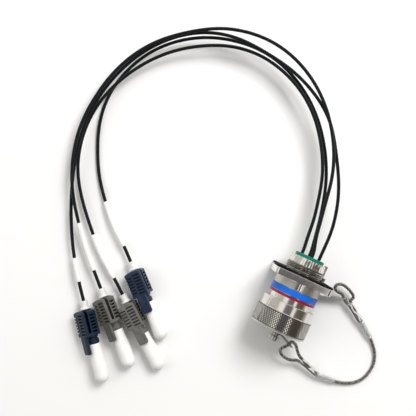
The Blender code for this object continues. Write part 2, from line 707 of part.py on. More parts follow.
def make_ferrule(name, start, end, parts, material):
    """A crimped ferrule, flat and waisted, from the eye's side to the rope's side."""
    start, end = Vector(start) * MM, Vector(end) * MM
    half = FERRULE_LENGTH / 2
    profile = [
        (FERRULE_HALF_WIDTH - EDGE_CHAMFER, half),
        (FERRULE_HALF_WIDTH, half - EDGE_CHAMFER),
        (FERRULE_HALF_WIDTH, 0.55 * half),
        (FERRULE_HALF_WIDTH * FERRULE_WAIST, 0.3 * half),
        (FERRULE_HALF_WIDTH * FERRULE_WAIST, -0.3 * half),
        (FERRULE_HALF_WIDTH, -0.55 * half),
        (FERRULE_HALF_WIDTH, -half + EDGE_CHAMFER),
        (FERRULE_HALF_WIDTH - EDGE_CHAMFER, -half),
    ]
    ferrule = solid_turned(name, profile, parts, None, material, sides=16)
    along = (end - start).normalized()
    across = along.cross(Vector((0, 0, 1))).normalized()
    turn = Matrix((across, along.cross(across), along)).transposed().to_4x4()
    flat = Matrix.Diagonal((1, FERRULE_FLATNESS, 1, 1))
    ferrule.matrix_world = Matrix.Translation((start + end) / 2) @ turn @ flat
    return start, end, along, across


def make_lanyard(parts, materials):
    """The wire rope between its two ferrules, an eye beyond each, and their shrink sleeves."""
    steel, rope = materials["steel"], materials["rope"]
    upper_start, upper_end, upper_way, upper_side = make_ferrule(
        "upper_ferrule", *UPPER_FERRULE, parts, steel
    )
    lower_start, lower_end, lower_way, lower_side = make_ferrule(
        "lower_ferrule", *LOWER_FERRULE, parts, steel
    )

    half_slack = (FERRULE_LENGTH - (upper_end - upper_start).length) / 2
    lower_slack = (FERRULE_LENGTH - (lower_end - lower_start).length) / 2
    from_upper = upper_end + upper_way * (half_slack + GAP)
    to_lower = lower_end + lower_way * (lower_slack + GAP)
    straight = 2 * ROPE_RADIUS
    run = [from_upper, from_upper + upper_way * straight]
    run += [Vector(point) * MM for point in ROPE_RUN]
    run += [to_lower + lower_way * straight, to_lower]
    path = smooth_path(run, ROPE_RUN_STEP)
    make_rope("lanyard_rope", path, ROPE_RADIUS, parts, rope)

    whole = path_length(path)
    inner = ROPE_RADIUS + SLEEVE_CLEARANCE
    near = part_of_path(path, GAP, SHRINK_LENGTH, 9)
    far = part_of_path(path, whole - SHRINK_LENGTH, whole - GAP, 9)
    make_sleeve("upper_shrink_sleeve", near, inner, SHRINK_WALL, parts, materials["clear"])
    make_sleeve("lower_shrink_sleeve", far, inner, SHRINK_WALL, parts, materials["clear"])

    leg = ROPE_RADIUS + GAP / 2
    eyes = (
        ("upper_eye", upper_start - upper_way * (half_slack + 1.5 * GAP), upper_way, -upper_side, UPPER_EYE),
        ("lower_eye", lower_start - lower_way * (lower_slack + 1.5 * GAP), lower_way, -lower_side, LOWER_EYE),
    )
    for name, mouth, way, side, points in eyes:
        first, last = mouth - side * leg, mouth + side * leg
        if (Vector(points[0]) * MM - first).length > (Vector(points[0]) * MM - last).length:
            first, last = last, first
        loop = [first, first - way * 0.8 * MM]
        loop += [Vector(point) * MM for point in points]
        loop += [last - way * 0.8 * MM, last]
        make_rope(name, smooth_path(loop, ROPE_EYE_STEP), ROPE_RADIUS, parts, rope)


def plug_frame(plug, parent_collection, number):
    """An empty on the fibre's axis at the plug's rear, with X forwards and Z towards the latch."""
    place = Vector(plug["place"]) * MM
    turn = (math.radians(plug["roll"]), 0, math.radians(plug["heading"]))
    return add_empty(f"plug_{number}_axis", parent_collection, place, turn)


def plug_outline():
    """The plug's body seen from its ribbed side: straight flanks and a crowned rear."""
    half = PLUG_WIDTH / 2
    radius = (half**2 + PLUG_CROWN**2) / (2 * PLUG_CROWN)
    spread = math.asin(half / radius)
    crown = []
    for step in range(7):
        angle = spread * (1 - step / 3)
        crown.append((radius - PLUG_CROWN - radius * math.cos(angle), radius * math.sin(angle)))
    return [(PLUG_LENGTH, -half), (PLUG_LENGTH, half), *crown]


def make_plug(number, frame, parts, cutters, material):
    """A latching plug moulded in one piece: ribbed body, latch lever, nose and fibre ferrule."""
    name = f"plug_{number}"
    low, high = -PLUG_UNDER_FIBRE, PLUG_HEIGHT - PLUG_UNDER_FIBRE
    plug = add_object(name, outline_mesh(name, plug_outline(), low, high), parts, frame, material)
    soften = plug.modifiers.new("edges", "BEVEL")
    soften.width = PLUG_BEVEL
    soften.segments = 1
    soften.limit_method = "ANGLE"
    soften.angle_limit = math.radians(40)

    lever = bmesh.new()
    box_into(
        lever,
        (PLUG_LENGTH - 2 * PLUG_BEVEL, -LEVER_WIDTH / 2, high - LEVER_THICKNESS),
        (PLUG_LENGTH + LEVER_REACH, LEVER_WIDTH / 2, high - 0.1 * MM),
    )
    made = add_object(name + "_lever", mesh_from(lever, name + "_lever"), cutters, frame)
    boolean(plug, "UNION", as_cutter(made))

    nose_end = PLUG_LENGTH + NOSE_LENGTH
    groove = PLUG_LENGTH + 0.35 * NOSE_LENGTH
    tip_end = nose_end + FERRULE_TIP_LENGTH
    profile = [
        (FERRULE_TIP_RADIUS - EDGE_CHAMFER, tip_end),
        (FERRULE_TIP_RADIUS, tip_end - EDGE_CHAMFER),
        (FERRULE_TIP_RADIUS, nose_end),
        (NOSE_RADIUS, nose_end),
        (NOSE_RADIUS, groove + NOSE_GROOVE_WIDTH),
        (NOSE_GROOVE_RADIUS, groove + NOSE_GROOVE_WIDTH),
        (NOSE_GROOVE_RADIUS, groove),
        (NOSE_RADIUS, groove),
        (NOSE_RADIUS, PLUG_LENGTH - NOSE_LENGTH / 2),
    ]
    nose = solid_turned(name + "_nose", profile, cutters, frame, sides=20)
    nose.rotation_euler = (0, math.pi / 2, 0)
    boolean(plug, "UNION", as_cutter(nose))

    shape = bmesh.new()
    groove_start = (PLUG_LENGTH - SIDE_GROOVE_LENGTH) / 2
    groove_top = high - LEVER_THICKNESS - 2 * SIDE_GROOVE_WIDTH / 2
    window_start = (PLUG_LENGTH - (SIDE_WINDOWS - 1) * SIDE_WINDOW_PITCH - SIDE_WINDOW_LENGTH) / 2
    window_top = groove_top - 2 * SIDE_GROOVE_WIDTH
    for side in (-1, 1):
        outer, inner = side * (PLUG_WIDTH / 2 + CUT_OVERRUN), side * (PLUG_WIDTH / 2 - SIDE_GROOVE_DEPTH)
        near, far = min(outer, inner), max(outer, inner)
        box_into(
            shape,
            (groove_start, near, groove_top - SIDE_GROOVE_WIDTH),
            (groove_start + SIDE_GROOVE_LENGTH, far, groove_top),
        )
        for window in range(SIDE_WINDOWS):
            start = window_start + window * SIDE_WINDOW_PITCH
            box_into(
                shape,
                (start, near, window_top - SIDE_WINDOW_HEIGHT),
                (start + SIDE_WINDOW_LENGTH, far, window_top),
            )
    made = add_object(name + "_cutter", mesh_from(shape, name + "_cutter"), cutters, frame)
    boolean(plug, "DIFFERENCE", as_cutter(made))


def make_crimp_ring(number, frame, parts, material):
    """The crimp ring between the plug and its cable, with a flange at the plug."""
    front = -PLUG_CROWN - GAP
    rear = front - RING_LENGTH
    hole = CABLE_RADIUS + SLEEVE_CLEARANCE
    profile = [
        (0, front),
        (RING_FLANGE_RADIUS, front),
        (RING_FLANGE_RADIUS, front - RING_FLANGE_LENGTH),
        (RING_RADIUS, front - RING_FLANGE_LENGTH),
        (RING_RADIUS, rear),
        (hole, rear),
        (hole, rear + RING_HOLE_DEPTH),
        (0, rear + RING_HOLE_DEPTH),
    ]
    ring = turned(f"crimp_ring_{number}", profile, parts, frame, material, sides=20)
    ring.rotation_euler = (0, math.pi / 2, 0)


def make_dust_cap(number, frame, parts, material):
    """A hollow rubber cap pushed over the plug's ferrule, with a round end."""
    mouth = PLUG_LENGTH + NOSE_LENGTH + GAP
    tip = mouth + DUST_CAP_LENGTH
    bore = FERRULE_TIP_RADIUS + DUST_CAP_BORE_CLEARANCE
    swell = mouth + 0.45 * DUST_CAP_LENGTH
    profile = []
    for step in range(6):
        angle = math.pi / 2 * step / 5
        radius = DUST_CAP_RADIUS * math.sin(angle)
        profile.append((radius, tip - DUST_CAP_RADIUS * (1 - math.cos(angle))))
    profile += [
        (DUST_CAP_RADIUS, swell),
        (DUST_CAP_MOUTH_RADIUS, mouth + EDGE_CHAMFER),
        (DUST_CAP_MOUTH_RADIUS - 0.5 * EDGE_CHAMFER, mouth),
        (bore, mouth),
        (bore, mouth + DUST_CAP_BORE_DEPTH),
        (0, mouth + DUST_CAP_BORE_DEPTH),
    ]
    cap = turned(f"dust_cap_{number}", profile, parts, frame, material, sides=20)
    cap.rotation_euler = (0, math.pi / 2, 0)


def make_cable(number, plug, frame, parts, materials):
    """One cable from its grommet hole to its crimp ring, and the marker sleeve on it."""
    x, drop = hole_offset(HOLE_ANGLES[number])
    start_y = FLANGE_REAR_Y + GROMMET_END - CABLE_INSET
    start = Vector((x, start_y, AXIS_HEIGHT - drop))
    ring_rear = -PLUG_CROWN - GAP - RING_LENGTH
    bpy.context.view_layer.update()
    end = frame.matrix_world @ Vector((ring_rear + CABLE_INSET, 0, 0))
    way = (frame.matrix_world.to_3x3() @ Vector((1, 0, 0))).normalized()
    points = [start, start + Vector((0, 3 * CABLE_RADIUS, 0))]
    points += [Vector(point) * MM for point in ROUTES[number]]
    points += [end - way * 9 * CABLE_RADIUS, end - way * 4 * CABLE_RADIUS, end]
    path = smooth_path(points, CABLE_STEP)
    make_rope(f"cable_{number}", path, CABLE_RADIUS, parts, materials["cable"])

    marker_end = path_length(path) - CABLE_INSET - plug["marker_gap"] * MM
    marker_start = marker_end - plug["marker"] * MM
    count = 2 + round(plug["marker"] / 4)
    stretch = part_of_path(path, marker_start, marker_end, count)
    inner = CABLE_RADIUS + SLEEVE_CLEARANCE
    make_sleeve(f"marker_sleeve_{number}", stretch, inner, MARKER_WALL, parts, materials["white"])


def main():
    clear_scene()
    parts = new_collection("fibre_optic_cable_assembly")
    cutters = new_collection("cutters")
    materials = {
        "nickel": new_material("nickel_plate", (0.62, 0.61, 0.57), 0.3, 1.0),
        "steel": new_material("stainless_steel", (0.5, 0.5, 0.49), 0.35, 1.0),
        "dark_steel": new_material("dark_steel", (0.12, 0.12, 0.12), 0.4, 1.0),
        "rope": new_material("coated_wire_rope", (0.45, 0.45, 0.43), 0.4, 1.0),
        "clear": new_material("clear_shrink", (0.7, 0.71, 0.72), 0.2),
        "band": new_material("blue_band", (0.02, 0.14, 0.62), 0.4),
        "black_rubber": new_material("black_rubber", (0.012, 0.012, 0.012), 0.7),
        "green_rubber": new_material("green_rubber", (0.0, 0.24, 0.15), 0.6),
        "dark_plastic": new_material("dark_plastic", (0.03, 0.03, 0.03), 0.5),
        "cable": new_material("cable_jacket", (0.01, 0.012, 0.014), 0.45),
        "white": new_material("white_sleeve", (0.85, 0.85, 0.84), 0.5),
        "blue_plug": new_material("dark_blue_plastic", (0.02, 0.05, 0.11), 0.45),
        "grey_plug": new_material("grey_plastic", (0.13, 0.13, 0.12), 0.5),
        "cap_rubber": new_material("white_rubber", (0.85, 0.85, 0.82), 0.5),
    }
    plug_colours = {1: "blue_plug", 2: "grey_plug", 3: "grey_plug", 4: "blue_plug"}

    axis = add_empty(
        "receptacle_axis", cutters, (0, FLANGE_REAR_Y, AXIS_HEIGHT), (-math.pi / 2, 0, 0)
    )
    make_shell(parts, cutters, axis, materials["nickel"])
    make_receptacle_fittings(parts, cutters, axis, materials)
    make_flange_screw(parts, cutters, axis, materials)
    make_cap(parts, cutters, axis, materials)
    make_lanyard(parts, materials)
    for number, plug in PLUGS.items():
        frame = plug_frame(plug, cutters, number)
        make_plug(number, frame, parts, cutters, materials[plug_colours[number]])
        make_crimp_ring(number, frame, parts, materials["steel"])
        make_dust_cap(number, frame, parts, materials["cap_rubber"])
        make_cable(number, plug, frame, parts, materials)


main()
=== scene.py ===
"""The looks of the fibre optic cable assembly: a flanged receptacle lying on a white table, its four
fibre cables in a wide loop to their plugs, and its protective cap on a wire lanyard.

Lengths called along are counted on the receptacle's axis from the flange's rear face, towards the
fibres. A plug's own frame has X forwards on the fibre's axis and Z towards its latch.
"""

import math

import bmesh
import bpy
import numpy as np
from mathutils import Matrix, Vector


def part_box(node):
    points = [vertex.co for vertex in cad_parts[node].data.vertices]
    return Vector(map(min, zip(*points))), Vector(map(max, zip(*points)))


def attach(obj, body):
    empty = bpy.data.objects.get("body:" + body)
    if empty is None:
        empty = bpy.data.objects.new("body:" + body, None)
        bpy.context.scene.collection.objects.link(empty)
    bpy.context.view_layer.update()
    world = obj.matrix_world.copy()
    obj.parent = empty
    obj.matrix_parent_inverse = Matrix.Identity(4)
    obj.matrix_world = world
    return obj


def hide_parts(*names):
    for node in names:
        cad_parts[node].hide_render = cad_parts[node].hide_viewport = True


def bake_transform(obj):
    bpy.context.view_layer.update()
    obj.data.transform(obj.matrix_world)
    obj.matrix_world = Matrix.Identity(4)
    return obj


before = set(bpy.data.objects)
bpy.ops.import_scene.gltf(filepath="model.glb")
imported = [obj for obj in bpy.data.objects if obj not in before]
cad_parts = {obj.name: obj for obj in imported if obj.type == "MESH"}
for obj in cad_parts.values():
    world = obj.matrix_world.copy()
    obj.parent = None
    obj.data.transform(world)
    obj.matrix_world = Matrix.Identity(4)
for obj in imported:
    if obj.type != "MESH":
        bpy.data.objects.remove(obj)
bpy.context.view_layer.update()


# The studio. The camera looks straight down from half a metre at a white table. A broad soft light
# stands beyond the receptacle, to the right. The room is painted in the world, and its bright and
# dark stretches show as streaks along the polished metal.
MM = 0.001
CAMERA_PLACE = (-71.0 * MM, 29.8 * MM, 500 * MM)
CAMERA_TURN = math.radians(24.6)
SENSOR = 36.0
VIEW_WIDTH = 270.4 * MM


def new_object(name, data):
    """An object in the scene, at the origin."""
    made = bpy.data.objects.new(name, data)
    bpy.context.scene.collection.objects.link(made)
    return made


lens = bpy.data.cameras.new("camera")
lens.sensor_width = SENSOR
lens.lens = SENSOR * CAMERA_PLACE[2] / VIEW_WIDTH
camera = new_object("camera", lens)
camera.location = CAMERA_PLACE
camera.rotation_euler = (0, 0, CAMERA_TURN)
bpy.context.scene.camera = camera


def soft_light(name, right, up, height, size, power):
    """A square light aimed at the table, placed in metres to the right of and above the view's middle."""
    lamp = bpy.data.lights.new(name, "AREA")
    lamp.size = size
    lamp.energy = power
    light = new_object(name, lamp)
    offset = Matrix.Rotation(CAMERA_TURN, 3, "Z") @ Vector((right, up, height))
    light.location = offset + Vector((CAMERA_PLACE[0], CAMERA_PLACE[1], 0))
    light.rotation_euler = (-offset).to_track_quat("-Z", "Y").to_euler()
    light.visible_glossy = False


soft_light("key_light", right=0.42, up=0.5, height=0.85, size=0.44, power=8.8)
soft_light("left_light", right=-0.8, up=0.1, height=0.7, size=0.5, power=1.2)
bpy.context.scene.view_settings.view_transform = "Standard"


def node(tree, kind, inputs, **settings):
    """A node with its inputs, each a value or the output that feeds it."""
    made = tree.nodes.new(kind)
    for name, value in settings.items():
        setattr(made, name, value)
    for name, value in inputs.items():
        if isinstance(value, bpy.types.NodeSocket):
            tree.links.new(value, made.inputs[name])
        else:
            made.inputs[name].default_value = value
    return made


# The room round the table, in degrees from overhead towards the receptacle's right, and its colours:
# a pale wall on the left, a window, a dark stretch overhead, the ceiling lamp and a dim wall on the
# right. Two end walls are mixed over them, bright beyond the fibres and dim beyond the cap.
ROOM = [
    (-92, (0.62, 0.61, 0.57)), (-50, (0.55, 0.54, 0.5)), (-38, (1.0, 0.99, 0.95)), (-20, (1.0, 0.99, 0.95)),
    (-16, (0.2, 0.18, 0.2)), (15, (0.15, 0.14, 0.15)), (18, (1.0, 0.99, 0.96)), (29, (1.0, 0.99, 0.96)),
    (33, (0.14, 0.12, 0.1)), (72, (0.11, 0.095, 0.08)), (84, (0.42, 0.41, 0.36)), (100, (0.6, 0.6, 0.56)),
]
END_WALLS = ((0.3, 0.48, (1.0, 0.99, 0.96, 1)), (-0.42, -0.62, (0.13, 0.125, 0.12, 1)))
ROOM_STRENGTH = 1.02
sky = bpy.data.worlds.new("studio")
bpy.context.scene.world = sky
sky.use_nodes = True
room = sky.node_tree
view = node(room, "ShaderNodeTexCoord", {}).outputs["Generated"]
parts_of = node(room, "ShaderNodeSeparateXYZ", {0: view}).outputs
aside = node(room, "ShaderNodeMath", {0: parts_of["X"], 1: parts_of["Z"]}, operation="ARCTAN2").outputs[0]
turn_share = node(room, "ShaderNodeMapRange", {"Value": aside, "From Min": -math.pi, "From Max": math.pi})
room_colours = node(room, "ShaderNodeValToRGB", {"Fac": turn_share.outputs["Result"]})
painted = room_colours.outputs["Color"]
for near, far, colour in END_WALLS:
    share = node(room, "ShaderNodeMapRange", {"Value": parts_of["Y"], "From Min": near, "From Max": far})
    wall = {"Fac": share.outputs["Result"], "Color1": painted, "Color2": colour}
    painted = node(room, "ShaderNodeMixRGB", wall).outputs["Color"]
background = room.nodes["Background"]
room.links.new(painted, background.inputs["Color"])
while len(room_colours.color_ramp.elements) < len(ROOM):
    room_colours.color_ramp.elements.new(0.5)
for stop, (degrees, colour) in zip(room_colours.color_ramp.elements, ROOM):
    stop.position = 0.5 + degrees / 360
    stop.color = (*colour, 1)
background.inputs["Strength"].default_value = ROOM_STRENGTH


def shader_of(material):
    return material.node_tree.nodes["Principled BSDF"]


def new_finish(name, colour, roughness, metallic=0.0, specular=0.5):
    """A material."""
    material = bpy.data.materials.new(name)
    material.use_nodes = True
    shader = shader_of(material)
    shader.inputs["Base Color"].default_value = (*colour, 1.0)
    shader.inputs["Roughness"].default_value = roughness
    shader.inputs["Metallic"].default_value = metallic
    shader.inputs["Specular IOR Level"].default_value = specular
    return material


table_finish = new_finish("white_table", (0.9, 0.9, 0.895), 0.7)
table_shape = bmesh.new()
bmesh.ops.create_grid(table_shape, x_segments=1, y_segments=1, size=4.0)
table_mesh = bpy.data.meshes.new("table")
table_shape.to_mesh(table_mesh)
table_shape.free()
table_mesh.materials.append(table_finish)
table = new_object("table", table_mesh)


# The shell: one turned and milled piece of aluminium, nickel plated all over. From the rear it has
# a toothed crown, a thread, the square flange, a neck with four scooped recesses, the band's seat,
# a ring painted red, and the front barrel that the cap screws over.
AXIS_HEIGHT = (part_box("shell")[0].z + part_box("shell")[1].z) / 2
SHELL_SIDES = 324
CROWN_TEETH = 27
CROWN_TOOTH_DEPTH = 2.2 * MM
CROWN_NOTCH_SHARE = 0.86
CROWN_LIP_RADIUS = 10.3 * MM
CROWN_RADIUS = 11.2 * MM
CROWN_START = 6.6 * MM
CROWN_END = 11.2 * MM
BORE_RADIUS = 9.7 * MM
THREAD_START = 1.8 * MM
THREAD_PITCH = 1.2 * MM
THREAD_CREST = 12.3 * MM
THREAD_DEPTH = 0.6 * MM
RELIEF_RADIUS = 11.6 * MM
FLANGE_SIDE = 37.0 * MM
FLANGE_THICKNESS = 4.0 * MM
FLANGE_CORNER = 2.6 * MM
HOLE_SPACING = 28.0 * MM
HOLE_RADIUS = 1.7 * MM
PAD_RADIUS = 14.8 * MM
PAD_END = -9.1 * MM
CHANNEL_RADIUS = 3.4 * MM
CHANNEL_DEPTH = 1.9 * MM
CHANNEL_MARGIN = 0.4 * MM
BAND_SEAT = 14.3 * MM
BAND_END = -13.6 * MM
RED_RING_RADIUS = 15.0 * MM
RED_RING_END = -15.2 * MM
BARREL_RADIUS = 13.4 * MM
BARREL_END = -31.5 * MM
SOCKET_RADIUS = 11.6 * MM
BORE_STEP = -6.0 * MM
EDGE = 0.25 * MM

FLANGE_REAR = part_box("shell")[1].y - CROWN_END
RECEPTACLE = Matrix(((1, 0, 0, 0), (0, 0, 1, FLANGE_REAR), (0, -1, 0, AXIS_HEIGHT), (0, 0, 0, 1)))


def span(name):
    """Where a CAD piece starts and ends along the axis, and half its width."""
    low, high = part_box(name)
    return low.y - FLANGE_REAR, high.y - FLANGE_REAR, (high.x - low.x) / 2


def rounded(outline, reach, steps=3):
    """Rounds an outline's corners, with one more point on each side of a corner for clean shading."""
    outline = [Vector(point) for point in outline]
    points = [outline[0]]
    for before, corner, after in zip(outline, outline[1:], outline[2:]):
        back, ahead = before - corner, after - corner
        near = min(reach, 0.4 * back.length, 0.4 * ahead.length)
        start, end = corner + near * back.normalized(), corner + near * ahead.normalized()
        points.append(start + 0.2 * near * back.normalized())
        for step in range(steps + 1):
            share = step / steps
            points.append(start * (1 - share) ** 2 + 2 * share * (1 - share) * corner + end * share**2)
        points.append(end + 0.2 * near * ahead.normalized())
    return [tuple(point) for point in points + [outline[-1]]]


def skin(shape, rows, closed=False):
    """Joins rows of points into a skin. A row of one point closes it as a pole."""
    made = [[shape.verts.new(point) for point in row] for row in rows]
    pairs = list(zip(made, made[1:]))
    if closed:
        pairs.append((made[-1], made[0]))
    for first, second in pairs:
        count = max(len(first), len(second))
        for step in range(count):
            after = (step + 1) % count
            corners = [first[step % len(first)], first[after % len(first)]]
            corners += [second[after % len(second)], second[step % len(second)]]
            face = list(dict.fromkeys(corners))
            if len(face) > 2:
                shape.faces.new(face)


def turned(profile, sides, closed=False, warp=None):
    """A piece turned about its own Z from (radius, along) points, each of which warp may move."""
    rows = []
    for radius, along in profile:
        if radius == 0:
            rows.append([(0, 0, along)])
            continue
        row = []
        for step in range(sides):
            angle = 2 * math.pi * step / sides
            out, up = warp(angle, radius, along) if warp else (radius, along)
            row.append((out * math.cos(angle), out * math.sin(angle), up))
        rows.append(row)
    shape = bmesh.new()
    skin(shape, rows, closed)
    return shape


def turned_solid(outline, reach, sides, steps=3):
    """A solid piece turned from its rounded outline, whose ends are closed on the axis."""
    return turned([(0, outline[0][1]), *rounded(outline, reach, steps), (0, outline[-1][1])], sides)


def circle(x, y, radius, count=32):
    """A hole's outline, clockwise."""
    turns = [-2 * math.pi * step / count for step in range(count)]
    return [(x + radius * math.cos(turn), y + radius * math.sin(turn)) for turn in turns]


def rounded_square(side, corner, steps=8):
    points = []
    for quarter in range(4):
        centre = Matrix.Rotation(quarter * math.pi / 2, 2) @ Vector((side / 2 - corner, side / 2 - corner))
        for step in range(steps + 1):
            turn = (quarter + step / steps) * math.pi / 2
            points.append(tuple(centre + corner * Vector((math.cos(turn), math.sin(turn)))))
    return points


def plain_mesh(thing):
    """The mesh that an object shows, with its modifiers worked in."""
    graph = bpy.context.evaluated_depsgraph_get()
    return bpy.data.meshes.new_from_object(thing.evaluated_get(graph))


def shape_of(mesh):
    shape = bmesh.new()
    shape.from_mesh(mesh)
    return shape


def cut_sheet(outlines, thickness, edge, low=0.0):
    """A flat sheet from z = low up, cut to its outline and holes, with rounded edges."""
    curve = bpy.data.curves.new("outline", "CURVE")
    curve.dimensions = "2D"
    curve.fill_mode = "BOTH"
    curve.extrude = thickness / 2 - edge
    curve.bevel_depth = edge
    curve.bevel_resolution = 2
    curve.offset = -edge
    for outline in outlines:
        line = curve.splines.new("POLY")
        line.points.add(len(outline) - 1)
        for point, (x, y) in zip(line.points, outline):
            point.co = (x, y, 0, 1)
        line.use_cyclic_u = True
    guide = new_object("outline", curve)
    mesh = plain_mesh(guide)
    bpy.data.objects.remove(guide)
    shape = shape_of(mesh)
    bpy.data.meshes.remove(mesh)
    bmesh.ops.remove_doubles(shape, verts=shape.verts, dist=0.001 * MM)
    for lift in (thickness / 2, low):
        bmesh.ops.translate(shape, vec=(0, 0, lift), verts=shape.verts)
    return shape


def add_shape(shape, other):
    """Adds one shape to another that is in the same frame."""
    mesh = bpy.data.meshes.new("added")
    other.to_mesh(mesh)
    other.free()
    shape.from_mesh(mesh)
    bpy.data.meshes.remove(mesh)


def make_piece(name, shape, place, materials, crease=35):
    """A mesh object in the shared frame, from a shape in its own frame."""
    bmesh.ops.transform(shape, matrix=place, verts=shape.verts)
    bmesh.ops.recalc_face_normals(shape, faces=shape.faces)
    mesh = bpy.data.meshes.new(name)
    shape.to_mesh(mesh)
    shape.free()
    for material in materials:
        mesh.materials.append(material)
    mesh.shade_smooth()
    mesh.set_sharp_from_angle(angle=math.radians(crease))
    return new_object(name, mesh)


def fit(piece, body, slot, *nodes):
    """Attaches a finished piece to its body and hides the nodes that it stands for. The slot is not used."""
    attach(piece, body)
    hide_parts(*nodes)
    return piece


def add_noise(tree, scale, detail, stretch=None):
    """Noise in the object's own coordinates, stretched along some axes if asked."""
    place = node(tree, "ShaderNodeTexCoord", {}).outputs["Object"]
    if stretch:
        place = node(tree, "ShaderNodeMapping", {"Vector": place, "Scale": stretch}).outputs["Vector"]
    noise = node(tree, "ShaderNodeTexNoise", {"Vector": place, "Scale": scale, "Detail": detail})
    return noise.outputs["Fac"]


def add_grain(material, scale, strength, stretch=(1, 1, 1)):
    """Fine relief from noise, stretched along some axes."""
    tree = material.node_tree
    bump = node(tree, "ShaderNodeBump", {
        "Height": add_noise(tree, scale, 3.0, stretch), "Strength": strength, "Distance": 0.05 * MM,
    })
    tree.links.new(bump.outputs["Normal"], shader_of(material).inputs["Normal"])


def add_mottle(material, scale, low, high, roughness):
    """Soft patches between two colours and two roughnesses."""
    tree = material.node_tree
    shader = shader_of(material)
    patches = add_noise(tree, scale, 4.0)
    colours = node(tree, "ShaderNodeValToRGB", {"Fac": patches})
    for stop, position, colour in zip(colours.color_ramp.elements, (0.3, 0.7), (low, high)):
        stop.position = position
        stop.color = (*colour, 1)
    spread = node(tree, "ShaderNodeMapRange", {
        "Value": patches, "From Min": 0.3, "From Max": 0.7, "To Min": roughness[0], "To Max": roughness[1],
    })
    tree.links.new(colours.outputs["Color"], shader.inputs["Base Color"])
    tree.links.new(spread.outputs["Result"], shader.inputs["Roughness"])


nickel = new_finish("nickel_plate", (0.74, 0.72, 0.67), 0.16, 1.0)
add_mottle(nickel, 160, (0.68, 0.66, 0.61), (0.8, 0.78, 0.74), (0.11, 0.2))
add_grain(nickel, 900, 0.05, stretch=(0.06, 1, 0.06))
satin_nickel = new_finish("satin_nickel", (0.6, 0.59, 0.54), 0.5, 1.0)
add_mottle(satin_nickel, 420, (0.53, 0.52, 0.475), (0.64, 0.63, 0.58), (0.42, 0.58))
add_grain(satin_nickel, 2400, 0.12)
red_paint = new_finish("red_paint", (0.3, 0.004, 0.01), 0.38)
add_mottle(red_paint, 260, (0.25, 0.003, 0.008), (0.34, 0.005, 0.012), (0.32, 0.45))
# The thread's roots are painted a dark nickel: painted shade in the grooves of the thread.
thread_shade = new_finish("thread_root_painted_shade", (0.2, 0.19, 0.17), 0.5, 1.0)
add_mottle(thread_shade, 420, (0.15, 0.142, 0.128), (0.24, 0.23, 0.205), (0.42, 0.58))

SLOT_ANGLE = math.radians(226)
SLOT_HALF_ANGLE = math.radians(13)
SLOT_LOW, SLOT_HIGH = -17.6 * MM, -16.1 * MM
SLOT_DEPTH = 0.5 * MM


def mill_shell(angle, radius, along):
    """Cuts the crown's notches, the helical thread, the neck's recesses and the barrel's slot."""
    tooth_foot = CROWN_END - CROWN_TOOTH_DEPTH
    if along > tooth_foot and radius <= CROWN_LIP_RADIUS:
        return radius, along
    if along > tooth_foot:
        phase = angle * CROWN_TEETH / (2 * math.pi) % 1
        notch = max(0.0, 1 - 2 * abs(phase - 0.5) / CROWN_NOTCH_SHARE)
        return radius, tooth_foot + (along - tooth_foot) * (1 - 0.97 * notch)
    if THREAD_START < along < CROWN_START and radius > BORE_RADIUS + EDGE:
        phase = (along / THREAD_PITCH - angle / (2 * math.pi)) % 1
        fade = min(1.0, (along - THREAD_START) / THREAD_PITCH, (CROWN_START - along) / (0.6 * THREAD_PITCH))
        flank = min(1.0, 1.5 * abs(2 * phase - 1))
        return THREAD_CREST - THREAD_DEPTH + fade * THREAD_DEPTH * (1 - flank), along
    if PAD_END + CHANNEL_MARGIN < along < -FLANGE_THICKNESS - CHANNEL_MARGIN and radius > SOCKET_RADIUS:
        centre = PAD_RADIUS - CHANNEL_DEPTH + CHANNEL_RADIUS
        aside = (angle + math.pi / 4) % (math.pi / 2) - math.pi / 4
        inside = CHANNEL_RADIUS**2 - (centre * math.sin(aside)) ** 2
        if inside > 0:
            return min(radius, centre * math.cos(aside) - math.sqrt(inside)), along
    if SLOT_LOW < along < SLOT_HIGH and radius > SOCKET_RADIUS:
        if abs(angle - SLOT_ANGLE) < SLOT_HALF_ANGLE:
            return radius - SLOT_DEPTH, along
    return radius, along


NICK = 0.02 * MM
thread_rows = 56
outside = rounded([(BORE_RADIUS, CROWN_START), (BORE_RADIUS, CROWN_END), (CROWN_LIP_RADIUS, CROWN_END),
                   (CROWN_RADIUS, CROWN_END), (CROWN_RADIUS, CROWN_START)], EDGE)
outside += [(THREAD_CREST - THREAD_DEPTH, CROWN_START + NICK)]
outside += [
    (THREAD_CREST, CROWN_START - (CROWN_START - THREAD_START) * (row + 0.5) / thread_rows)
    for row in range(thread_rows)
]
outside += [(RELIEF_RADIUS, THREAD_START - NICK), (RELIEF_RADIUS, -FLANGE_THICKNESS / 2)]
outside += [(PAD_RADIUS, -FLANGE_THICKNESS / 2), (PAD_RADIUS, -FLANGE_THICKNESS - CHANNEL_MARGIN)]
outside += [(PAD_RADIUS, -FLANGE_THICKNESS - CHANNEL_MARGIN - NICK)]
outside += [(PAD_RADIUS, PAD_END + CHANNEL_MARGIN + NICK), (PAD_RADIUS, PAD_END + CHANNEL_MARGIN)]
outside += rounded([(PAD_RADIUS, PAD_END + EDGE), (PAD_RADIUS, PAD_END), (BAND_SEAT, PAD_END),
                    (BAND_SEAT, BAND_END), (RED_RING_RADIUS, BAND_END), (RED_RING_RADIUS, RED_RING_END),
                    (BARREL_RADIUS, RED_RING_END), (BARREL_RADIUS, SLOT_HIGH + NICK)], 0.5 * EDGE)
outside += [(BARREL_RADIUS, SLOT_HIGH - NICK), (BARREL_RADIUS, SLOT_LOW + NICK)]
outside += rounded([(BARREL_RADIUS, SLOT_LOW - NICK), (BARREL_RADIUS, BARREL_END),
                    (SOCKET_RADIUS, BARREL_END), (SOCKET_RADIUS, BORE_STEP), (BORE_RADIUS, BORE_STEP),
                    (BORE_RADIUS, 0)], EDGE)
shell_shape = turned(outside, SHELL_SIDES, closed=True, warp=mill_shell)

